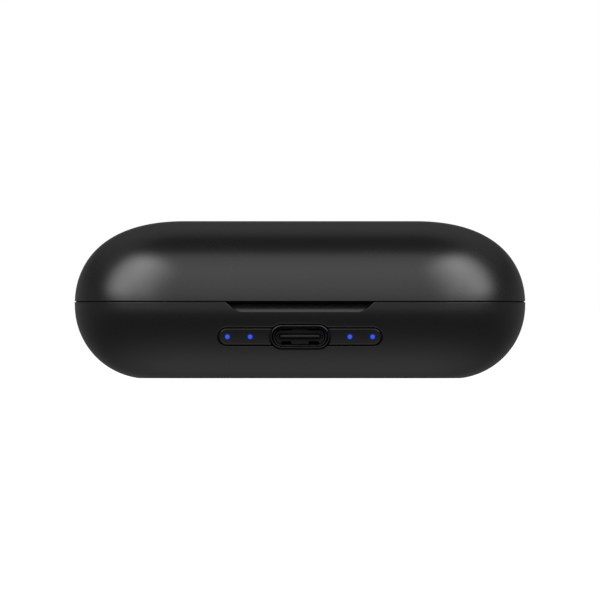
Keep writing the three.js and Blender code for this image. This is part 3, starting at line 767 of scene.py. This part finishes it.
def trimOutline(grow):
    # a long capsule with a fatter collar blended in round the port
    form = trimForm
    half, collar, fillet = form["halfHeight"] + grow, form["collarRadius"] + grow, form["fillet"] - grow
    lift = half + fillet
    blendX = form["collarHalf"] + math.sqrt((collar + fillet) ** 2 - lift**2)
    meet = math.degrees(math.atan2(lift, blendX - form["collarHalf"]))
    quarter = arcPoints(form["halfLength"] - form["halfHeight"], 0, half, 0, 90, steps=12)
    quarter += arcPoints(blendX, lift, fillet, -90, meet - 180, steps=6)
    quarter += arcPoints(form["collarHalf"], 0, collar, meet, 90, steps=8)[1:]
    right = [(x, -z) for x, z in quarter[:0:-1]] + quarter
    return mirrored([(x, form["height"] + z) for x, z in right])


def capsule(width, height, centre, grow=0):
    return mirrored(arcPoints((width - height) / 2, centre, height / 2 + grow, -90, 90, steps=20))


def portOutline(grow):
    return capsule(trimForm["portWidth"], trimForm["portHeight"], trimForm["height"], grow)


def circle(x, z, radius, steps=32):
    return arcPoints(x, z, radius, 0, 360 * (1 - 1 / steps), steps - 1)


def roundedWay(edge, steps=4):
    # How far an opening has grown at each depth where its edge is rounded, from outside the surface
    # inwards. It meets the surface at 25 degrees, which shades as a smooth turn.
    start, outside, faraway = 25, 0.08, 0.6
    way = arcPoints(edge, edge, edge, -90 - start, -180, steps)
    first = way[0][0] + (way[0][1] + outside) / math.tan(math.radians(start))
    return [(first, -faraway), (first, -outside)] + way


def openingRings(outline, edge, floor, face=0, last=0):
    # the rings of an opening with a rounded edge in the front, down to its floor
    rings = [onFront(outline(grow), face + depth) for grow, depth in roundedWay(edge)]
    return rings + [onFront(outline(last), floor)]


# ---- shells

ribForm = {
    "foot": 0.5, "bosses": [(-10.1, -10.8), (10.1, -10.8), (-8.1, -5.3), (8.1, -5.3)],
    "bossRadius": 1.3, "bossTop": 4.26, "boreRadius": 0.7, "boreFloor": 1.8, "boreEnd": 6,
    "cellRibs": {"x": [-5, 5], "half": 0.5, "y": (-3.2, 12.2), "top": 3.9},
    "contactRibs": {"x": [-26.1, -22.9, 22.9, 26.1], "half": 0.4, "y": (-4.4, 4.4), "top": 2.2},
}


def addInnerRibs(shell):
    # bosses and ribs, trimmed to a solid that ends half a wall inside the base
    form = ribForm
    foot = form["foot"]
    parts = uprights("boss", form["bossRadius"], form["bosses"], foot, form["bossTop"], 24)
    for rib in (form["cellRibs"], form["contactRibs"]):
        half, (front, back) = rib["half"], rib["y"]
        parts += [addBlock("rib", (x - half, front, foot), (x + half, back, rib["top"])) for x in rib["x"]]
    ribs = joined(*parts)
    inset, ledge = baseForm["wall"] / 2, baseForm["ledgeHeight"]
    arc = [(r, z) for r, z in baseArc(inset, baseForm["innerSteps"], inset) if z < ledge]
    inside = [(0, inset)] + arc + [(arc[-1][0], ledge), (0, ledge)]
    combine(ribs, sweepPill("inside", inside, 24, 2), "INTERSECT")
    combine(shell, ribs, "UNION")
    bores = uprights("bore", form["boreRadius"], form["bosses"], form["boreFloor"], form["boreEnd"], 20)
    combine(shell, joined(*bores))


hingeForm = {
    "y": 16.95, "z": 12.5, "barrel": 1.05, "bore": 0.55, "boreHalf": 18, "pin": 0.5, "pinHalf": 17,
    "pinEdge": 0.12, "lidHalf": 8.85, "baseHalf": 17, "gap": 0.3, "lidBevel": 50, "baseBevel": 52,
    "edge": 0.08,
}


def hingeBar(name, radius, x0, x1, bevel=0):
    form = hingeForm
    return addBar(name, radius, (x0, form["y"], form["z"]), (x1, form["y"], form["z"]), 40, bevel)


def fitHinge(shell, way, bevel, grooves, knuckles):
    # Frees everything behind the hinge line, beyond the angle that the opened lid needs, clears the
    # other shell's knuckles, adds this shell's own and bores them for the pin.
    form = hingeForm
    reach, drop, half, turn = 19, 1.6, 38, math.radians(bevel)
    y, z = form["y"], form["z"]
    corners = [(y, z), (y + reach * math.cos(turn), z + way * reach * math.sin(turn))]
    corners += [(y + reach, z - way * drop), (y, z - way * drop)]
    combine(shell, skin("wedge", [[(x, cy, cz) for cy, cz in corners] for x in (-half, half)]))
    bars = [hingeBar("groove", form["barrel"] + form["gap"], *span) for span in grooves]
    combine(shell, joined(*bars))
    bars = [hingeBar("knuckle", form["barrel"], *span, form["edge"]) for span in knuckles]
    combine(shell, joined(*bars), "UNION")
    combine(shell, hingeBar("bore", form["bore"], -form["boreHalf"], form["boreHalf"]))


scoopForm = {
    "flatHalf": 9.15, "lip": 10.87, "corner": 3.4, "endSlope": 41.5, "edge": 0.04, "draft": 1.1,
    "draftDepth": 2, "roll": 2.6, "lipAngle": 25, "faceAngle": 40.5, "top": 13.2,
}


def scoopOutline(grow):
    # a flat lip that turns up at both ends and runs out past the rim
    form = scoopForm
    radius, centre = form["corner"] + grow, form["lip"] + form["corner"]
    turned = form["endSlope"] - 90
    right = [(0, centre - radius)] + arcPoints(form["flatHalf"], centre, radius, -90, turned, steps=14)
    endX, endZ = right[-1]
    right.append((endX + (form["top"] - endZ) / math.tan(math.radians(form["endSlope"])), form["top"]))
    return right + [(-x, z) for x, z in reversed(right[1:])]


def cutScoop(shell):
    # The scoop's floor is one section, drawn along the case: it rolls over from the front and leans
    # back to the rim. The outline ends it with walls that lean outwards.
    form = scoopForm
    low, high, roll = math.radians(form["lipAngle"]), math.radians(form["faceAngle"]), form["roll"]
    front, faraway, half, before = frontAt(form["lip"], 0), -30, 16, 1
    y, z = front + roll * math.cos(low), form["lip"] - roll * math.sin(low)
    section = [(front - before, form["lip"] - before / math.tan(low))]
    section += arcPoints(y, z, roll, 180 - form["lipAngle"], 180 - form["faceAngle"], steps=12)
    y, z = section[-1]
    section += [(y + (form["top"] - z) * math.tan(high), form["top"]), (faraway, form["top"])]
    section.append((faraway, section[0][1]))
    wedge = skin("scoop", [[(x, cy, cz) for cy, cz in section] for x in (-half, half)])
    ends = openingRings(scoopOutline, form["edge"], form["draftDepth"], last=-form["draft"])
    combine(wedge, skin("ends", ends), "INTERSECT")
    combine(shell, wedge)


def makeBaseShell():
    form = trimForm
    shell = sweepPill("base_shell_fine", baseProfile())
    pad = [onFront(trimOutline(form["padGrow"]), depth) for depth in (form["padStart"], form["padDepth"])]
    combine(shell, skin("pad", pad), "UNION")
    gap, edge, floor = form["seatGap"], form["seatEdge"], form["seatDepth"]
    seat = openingRings(lambda grow: trimOutline(gap + grow), edge, floor)
    combine(shell, skin("seat", seat))
    outside, behindPort, behindPipe = -18, -8, -12
    port = portOutline(form["portClear"])
    through = [skin("port", [[(x, y, z) for x, z in port] for y in (outside, behindPort)])]
    for x in windowPlaces:
        hole = circle(x, form["height"], form["pipeHole"])
        through.append(skin("hole", [[(cx, y, cz) for cx, cz in hole] for y in (outside, behindPipe)]))
    combine(shell, joined(*through))
    addInnerRibs(shell)
    cutScoop(shell)
    inner, outer = hingeForm["lidHalf"] + hingeForm["gap"], hingeForm["baseHalf"]
    knuckles = [(side * inner, side * outer) for side in (-1, 1)]
    fitHinge(shell, -1, hingeForm["baseBevel"], [(-inner, inner)], knuckles)
    finishPiece(shell, "base", "base_shell", satinShell, 22)


def makeLidShell():
    shell = sweepPill("lid_shell_fine", lidProfile())
    inner, outer = hingeForm["lidHalf"], hingeForm["baseHalf"] + hingeForm["gap"]
    grooves = [(side * inner, side * outer) for side in (-1, 1)]
    fitHinge(shell, 1, hingeForm["lidBevel"], grooves, [(-inner, inner)])
    finishPiece(shell, "lid", "lid_shell", satinShell, 22)


makeBaseShell()
makeLidShell()
print("stage: shells")

# ---- port trim, windows and connector


def makePortTrim():
    # A slab of the base's own curve, cut to the outline with rounded edges. A groove sets the port's
    # raised ring off from the strip on either side.
    form = trimForm
    face, centre, through = form["face"], form["height"], form["face"] + form["cutDepth"]
    low, high, steps, half = 4.2, 9.4, 26, 14
    heights = [low + (high - low) * i / steps for i in range(steps + 1)]
    section = [(-half, frontAt(z, face), z) for z in heights]
    section += [(-half, frontAt(z, face + form["thickness"]), z) for z in reversed(heights)]
    trim = drawRing("port_trim_fine", section)
    bpy.ops.mesh.edge_face_add()
    shift(x=2 * half, steps=2 * half)
    weld()
    clearSelection()
    outline = openingRings(lambda grow: trimOutline(-grow), form["edge"], through, face)
    combine(trim, skin("outline", outline), "INTERSECT")

    def ring(grow):
        radius = form["collarRadius"]
        return capsule(2 * (form["collarHalf"] + radius), 2 * radius, centre, grow)

    edge, floor = form["ringEdge"], form["grooveDepth"]
    groove = openingRings(lambda grow: ring(form["gap"] + grow), edge, floor, face)
    groove += openingRings(lambda grow: ring(-grow), edge, floor, face)[::-1]
    combine(trim, skin("groove", groove, closed=True))
    combine(trim, skin("port", openingRings(portOutline, edge, through, face)))
    small, edge = lights["hole"], lights["edge"]
    for x in windowPlaces:
        hole = openingRings(lambda grow: circle(x, centre, small + grow), edge, through, face)
        combine(trim, skin("hole", hole))
    finishPiece(trim, "base", "port_trim", satinTrim, 22)


# The pipe's head is (radius, depth behind the front), its bend (y, drop, tilt).
pipeForm = {
    "head": [(0.08, 0.02), (0.2, 0.023), (0.31, 0.035), (0.4, 0.06), (0.305, 0.095), (0.32, 0.16)],
    "bend": [
        (-16, 0, 0), (-14.6, 0, 0), (-14.05, 0.09, 14), (-13.65, 0.38, 42), (-13.2, 0.8, 38),
        (-12.75, 1.08, 28), (-12.3, 1.3, 24),
    ],
}


def makeWindow(x, number):
    # A light pipe: a window that swells slightly from the trim, then a rod that bends down to its
    # source on the board.
    z = lights["height"]
    rings = [onFront(circle(x, z, radius), depth) for radius, depth in pipeForm["head"]]
    for y, drop, tilt in pipeForm["bend"]:
        lean, ring = math.radians(tilt), circle(x, 0, lights["radius"])
        rings.append([(cx, y + up * math.sin(lean), z - drop + up * math.cos(lean)) for cx, up in ring])
    pipe = skin(f"light_pipe_{number}_fine", rings)
    finishPiece(pipe, "base", f"light_pipe_{number}", blueGlow, 40)


# latchLow is where the windows' floors lie from the socket's middle, latchRise how high the windows
# are in front and at the back.
connectorForm = {
    "width": 8.94, "height": 3.26, "sheet": 0.3, "lip": 0.1, "mouth": -15.6, "back": -8.3,
    "legPlaces": [-12, -9.6], "legHalf": (0.15, 0.5), "legHeights": (5.06, 6.76), "legEdge": 0.05,
    "core": 0.36, "coreEdge": 0.1, "coreFront": -10.4, "tongueHalf": 3.345, "tongueTip": -14.9,
    "tongueThick": 0.7, "tongueLift": 0.09, "tongueRoot": 0.4, "slot": 1.5, "slotSide": 0.08,
    "slotOver": 0.15, "latchX": 2.25, "latchHalf": 0.85, "latchLow": (-1.35, 0.95),
    "latchRise": (0.6, 0.08), "latchDepth": 1.8,
}


def makeConnectorShell():
    # The drawn sleeve with its rolled mouth, and four legs soldered to the board. The sleeve is the
    # wall's section, swept once round the opening.
    form = connectorForm
    sheet, lip, mouth, back = form["sheet"], form["lip"], form["mouth"], form["back"]
    centre, outer = trimForm["height"], form["height"] / 2
    half = form["width"] / 2 - outer
    roll = arcPoints(outer - lip, mouth + lip, lip, 0, -90, steps=4)
    inner = [(2 * outer - sheet - r, y) for r, y in reversed(roll)]
    section = [(0, y, centre + r) for r, y in [(outer, back)] + roll + inner + [(outer - sheet, back)]]
    sleeve = drawRing("usb_shell_fine", section)
    shift(x=half, steps=4)
    for side, length, steps in ((1, 2 * half, 8), (-1, half, 4)):
        turn = {"center": (side * half * mm, 0, centre * mm), "axis": (0, -1, 0)}
        bpy.ops.mesh.spin(steps=24, angle=math.pi, **turn)
        shift(x=-side * length, steps=steps)
    weld()
    clearSelection()
    middle, (wide, deep), (foot, top) = form["width"] / 2 - sheet / 2, form["legHalf"], form["legHeights"]
    legs = [
        addBlock("leg", (x - wide, y - deep, foot), (x + wide, y + deep, top), form["legEdge"])
        for x in (-middle, middle)
        for y in form["legPlaces"]
    ]
    combine(sleeve, joined(*legs), "UNION")
    finishPiece(sleeve, "base", "usb_shell", platedSteel, 35)


def latchWindow(x, low):
    # a window in the core whose ceiling falls towards its back
    form = connectorForm
    half, front, (rise, end) = form["latchHalf"], form["coreFront"], form["latchRise"]
    rings = []
    for y, top in ((front - 1, low + rise), (front, low + rise), (front + form["latchDepth"], low + end)):
        rings.append([(x - half, y, low), (x + half, y, low), (x + half, y, top), (x - half, y, top)])
    return skin("window", rings)


def makeTongue():
    # The polymer core: a block with four latch windows and a tongue with a full round nose.
    form = connectorForm
    z, core, front, edge = trimForm["height"], form["core"], form["coreFront"], form["coreEdge"]
    width, height = form["width"] - 2 * core, form["height"] - 2 * core
    places = [(front, -edge), (front + 1.5 * edge, 0), (form["back"], 0)]
    rings = [[(x, y, cz) for x, cz in capsule(width, height, z, grow)] for y, grow in places]
    piece = skin("usb_tongue_fine", rings)
    tools = [latchWindow(x, z + low) for x in (-form["latchX"], form["latchX"]) for low in form["latchLow"]]
    half, thick = form["tongueHalf"], form["tongueThick"] / 2
    z += form["tongueLift"]
    wide, deep, over = half + form["slotSide"], front + form["slot"], thick + form["slotOver"]
    tools.append(addBlock("slot", (-wide, front - 1, z - over), (wide, deep, z + over)))
    combine(piece, joined(*tools))
    root = deep + form["tongueRoot"]
    blade = addBlock("blade", (-half, form["tongueTip"], z - thick), (half, root, z + thick))
    roundEdges(blade, thick * 0.7, lambda face: face.normal.y < -0.9, 8)
    combine(piece, blade, "UNION")
    finishPiece(piece, "base", "usb_tongue", connectorPolymer, 30)


makePortTrim()
for number, x in enumerate(windowPlaces, 1):
    makeWindow(x, number)
makeConnectorShell()
makeTongue()
print("stage: trim, windows and connector")

# ---- tray, liner and contacts

# The lid is held shut by magnets of one size in the tray and in the liner.
closureForm = {"x": 7, "y": -12.9, "seat": 2.1}


def closureSeats(low, high):
    spots = [(side * closureForm["x"], closureForm["y"]) for side in (-1, 1)]
    return uprights("seat", closureForm["seat"], spots, low, high, 40)


def addEgg(name, centre, radii, grow, side=1):
    # the round hollow that an earbud's body lies in, as a solid
    clearSelection()
    place = Vector((side * centre[0], *centre[1:])) * mm
    bpy.ops.mesh.primitive_uv_sphere_add(segments=72, ring_count=36, radius=mm, location=place)
    bpy.context.object.scale = [r + grow for r in radii]
    piece = namePlaced(name)
    clearSelection()
    return piece


def softenEdges(piece, voxel, rounds, keep):
    # one skin over the joined solids, its edges worn down to the radius of a moulding
    pick(piece)
    remesh = piece.modifiers.new("one skin", "REMESH")
    remesh.mode, remesh.voxel_size = "VOXEL", voxel * mm
    smooth = piece.modifiers.new("radius", "SMOOTH")
    smooth.factor, smooth.iterations = 0.5, rounds
    piece.modifiers.new("thin out", "DECIMATE").ratio = keep
    applyAll(piece)


# soften is the voxel's size, the rounds of smoothing and the share of faces kept.
trayForm = {
    "radius": 16, "bottom": 10.2, "top": 11.7, "pocket": (20.5, 0.5, 12.3),
    "pocketRadii": (10.2, 8.8, 6.2), "wall": 1, "well": (15.3, -5, 8), "wellRadius": 4.3,
    "wellDepth": 4.8, "wellDraft": 0.5, "contactX": 24.5, "contactSpread": 2.5, "sleeveRadius": 1.7,
    "sleeveHeights": (3, 7.5), "sleeveBore": 1.0, "boreHeights": (2, 12), "magnetAt": (18.5, 4.5),
    "magnetSeat": 1.85, "magnetWall": 0.7, "magnetHeights": (4.5, 9.3), "seatHeights": (2, 5.8),
    "closureHeights": (8, 10.65), "soften": (0.26, 9, 0.42),
}


def tipWell(side, grow):
    # the round well for an earbud's tip: a bowl that opens out by its draft up to the tray's top
    form = trayForm
    (x, y, z), steps = form["well"], 16
    radius, deep, top = form["wellRadius"] + grow, form["wellDepth"] + grow, form["top"] + 1
    turns = [math.pi / 2 * (1 - i / steps) for i in range(steps + 1)]
    bowl = [(0, z - deep)] + [(radius * math.cos(t), z - deep * math.sin(t)) for t in turns[1:]]
    return turnPiece("well", bowl + [(radius + form["wellDraft"], top), (0, top)], (side * x, y), 64)


def pockets(grow):
    parts = []
    for side in (-1, 1):
        egg = addEgg("pocket", trayForm["pocket"], trayForm["pocketRadii"], grow, side)
        parts += [egg, tipWell(side, grow)]
    return joined(*parts)


def makeCradle():
    # The tray that holds the earbuds: a plate with two pockets sunk in it, sleeves for the contacts
    # and seats for the magnets under it.
    form = trayForm
    bowls = pockets(form["wall"])
    combine(bowls, cutSlab("above", form["top"], 24), overlaps=True)
    plate = pillPlate("cradle_fine", form["radius"], form["bottom"], form["top"])
    contacts = [(s * form["contactX"], t * form["contactSpread"]) for s in (-1, 1) for t in (-1, 1)]
    seats = [(side * form["magnetAt"][0], form["magnetAt"][1]) for side in (-1, 1)]
    under = uprights("sleeve", form["sleeveRadius"], contacts, *form["sleeveHeights"])
    under += uprights("boss", form["magnetSeat"] + form["magnetWall"], seats, *form["magnetHeights"])
    tray = joined(plate, bowls, *under)
    combine(tray, pockets(0), overlaps=True)
    softenEdges(tray, *form["soften"])
    holes = uprights("bore", form["sleeveBore"], contacts, *form["boreHeights"])
    holes += uprights("seat", form["magnetSeat"], seats, *form["seatHeights"])
    holes += closureSeats(*form["closureHeights"])
    combine(tray, joined(*holes))
    finishPiece(tray, "base", "cradle", mattAbs, 40)


linerForm = {
    "radius": 16, "bottom": 13.2, "top": 14.4, "recess": (20.5, 0.5, 13.2),
    "recessRadii": (10.2, 8.8, 6.8), "wall": 0.8, "lipOuter": 15.95, "lipInner": 15.4,
    "lipBottom": 12, "lipTop": 14, "lipBack": 11, "closureHeights": (13.95, 18),
    "soften": (0.25, 5, 0.42),
}


def hollows(grow):
    form = linerForm
    return joined(*[addEgg("recess", form["recess"], form["recessRadii"], grow, side) for side in (-1, 1)])


def makeLidLiner():
    # The lid's inner moulding: a plate with two hollows over the earbuds and a lip that reaches
    # down inside the base's rim, left out at the back for the hinge.
    form = linerForm
    bottom, top, low = form["bottom"], form["top"], form["lipBottom"]
    domes = hollows(form["wall"])
    combine(domes, cutSlab("below", 2, bottom), overlaps=True)
    plate = pillPlate("lid_liner_fine", form["radius"], bottom, top)
    lip = pillPlate("lip", form["lipOuter"], low, form["lipTop"])
    combine(lip, pillPlate("inside", form["lipInner"], low - 1, top + 1))
    combine(lip, cutSlab("back", low - 2, top + 1, form["lipBack"]))
    liner = joined(plate, domes, lip)
    combine(liner, hollows(0), overlaps=True)
    softenEdges(liner, *form["soften"])
    combine(liner, joined(*closureSeats(*form["closureHeights"])))
    finishPiece(liner, "lid", "lid_liner", mattAbs, 40)


# The barrel has a shallow groove round it, a rolled rim and a floor. play is what the piston and the
# spring keep from what they would touch.
contactForm = {
    "places": [(-24.5, -2.5), (-24.5, 2.5), (24.5, -2.5), (24.5, 2.5)], "foot": 3, "floor": 0.4,
    "top": 6.5, "barrel": 0.9, "rim": 0.12, "footEdge": 0.08, "groove": (0.55, 0.85),
    "grooveDepth": 0.06, "grooveEdge": 0.05, "bore": 0.7, "mouth": 0.5, "mouthEdge": 0.06,
    "lip": 0.3, "plunger": 0.42, "piston": 0.6, "pistonEdge": 0.05, "pistonFoot": 5.4, "tip": 7.6,
    "play": 0.06, "wire": 0.08, "coil": 0.45, "turns": 4, "coilSteps": 32,
}


def barrelSection():
    form = contactForm
    foot, top, radius, mouth = form["foot"], form["top"], form["barrel"], form["mouth"]
    edge, waist, under = form["footEdge"], radius - form["grooveDepth"], top - form["lip"]
    bore, floor = form["bore"], foot + form["floor"]
    low, high = (foot + rise for rise in form["groove"])
    points = [(0, foot), (radius - edge, foot), (radius, foot + edge), (radius, low)]
    points += [(waist, low + form["grooveEdge"]), (waist, high - form["grooveEdge"]), (radius, high)]
    points += arcPoints(radius - form["rim"], top - form["rim"], form["rim"], 0, 90, steps=4)
    points += [(mouth + form["mouthEdge"], top), (mouth, top - form["mouthEdge"])]
    return points + [(mouth, under), (bore, under), (bore, floor), (0, floor)]


def plungerSection():
    form = contactForm
    foot, piston, edge, small = form["pistonFoot"], form["piston"], form["pistonEdge"], form["plunger"]
    shoulder = form["top"] - form["lip"] - form["play"]
    points = [(0, foot), (piston - edge, foot), (piston, foot + edge), (piston, shoulder - edge)]
    points += [(piston - edge, shoulder), (small, shoulder)]
    return points + arcPoints(0, form["tip"] - small, small, 0, 75, steps=5) + [(0, form["tip"])]


def windSpring(name, at):
    # a round wire, wound by the Screw modifier; its two ends are closed afterwards
    form = contactForm
    wire = form["wire"]
    low = form["foot"] + form["floor"] + wire + form["play"]
    high = form["pistonFoot"] - wire - form["play"]
    spring = drawRing(name, [(x, 0, z) for x, z in circle(form["coil"], low, wire, 12)])
    setMode("OBJECT")
    coil = spring.modifiers.new("coil", "SCREW")
    coil.axis, coil.angle, coil.iterations = "Z", 2 * math.pi, form["turns"]
    coil.screw_offset = (high - low) / form["turns"] * mm
    coil.steps = coil.render_steps = form["coilSteps"]
    applyAll(spring)
    openPiece(spring)
    selectMesh("DESELECT")
    bpy.ops.mesh.select_non_manifold()
    bpy.ops.mesh.edge_face_add()
    faceOut()
    bpy.ops.transform.translate(value=(at[0] * mm, at[1] * mm, 0))
    clearSelection()
    return spring


def makeContacts():
    # Four spring contacts: a turned barrel crimped over a plunger, with its spring inside. The first
    # one is modelled, the others are copies.
    form = contactForm
    at = form["places"][0]
    firsts = {
        "barrel": turnPiece("pogo_barrel_1_fine", barrelSection(), at),
        "plunger": turnPiece("pogo_plunger_1_fine", plungerSection(), at),
        "spring": windSpring("pogo_spring_1_fine", at),
    }
    for number, (x, y) in enumerate(form["places"], 1):
        made = {}
        for part, first in firsts.items():
            name = f"pogo_{part}_{number}_fine"
            made[part] = copyPiece(first, name, x - at[0], y - at[1]) if number > 1 else first
        finishPiece(made["barrel"], "base", f"pogo_barrel_{number}", goldPlate, 35)
        plunger, body = made["plunger"], f"contact_{number}"
        finishPiece(plunger, body, f"pogo_plunger_{number}", goldPlate, 35)
        finishPiece(made["spring"], "base", f"pogo_spring_{number}", drawnSteel, 50)
        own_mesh(made["spring"])


def makeHingePin():
    # a ground dowel with chamfered ends, pressed into the outer knuckles
    form = hingeForm
    pin = hingeBar("hinge_pin_fine", form["pin"], -form["pinHalf"], form["pinHalf"], form["pinEdge"])
    finishPiece(pin, "base", "hinge_pin", drawnSteel, 30)


makeCradle()
makeLidLiner()
makeContacts()
makeHingePin()
print("stage: tray, liner, contacts and pin")

# ---- pieces that stay as packed

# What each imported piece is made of, and how far its corners are rounded.
carriedOver = {
    "main_board": (solderMask, 0.06),
    "charge_controller": (chipEpoxy, 0.06),
    "power_inductor": (chipEpoxy, 0.12),
    "hall_sensor": (chipEpoxy, 0.05),
    "battery_socket": (creamNylon, 0.08),
    "battery_cell": (pouchFoil, 0.25),
    "battery_pad": (cutFoam, 0.05),
    "battery_lead_red": (redPvc, 0),
    "battery_lead_black": (blackPvc, 0),
}
for side in ("left", "right"):
    carriedOver[f"contact_board_{side}"] = (solderMask, 0.06)
    for magnet in ("bud", "base", "lid"):
        carriedOver[f"{magnet}_magnet_{side}"] = (nickelPlate, 0.1)
for number in range(1, 5):
    carriedOver[f"board_screw_{number}"] = (nickelPlate, 0.03)
    carriedOver[f"led_{number}"] = (ledPackage, 0.04)


def dressNode(name, surface, corner):
    part = nodes[name]
    part.data.materials.clear()
    part.data.materials.append(surface)
    if corner:
        part.modifiers.new("joined corners", "WELD").merge_threshold = mm * weldGap
        edge = part.modifiers.new("rounded corners", "BEVEL")
        edge.width, edge.segments, edge.angle_limit = corner * mm, 3, math.radians(40)


for name, (surface, corner) in carriedOver.items():
    dressNode(name, surface, corner)
print("stage: packed pieces dressed")
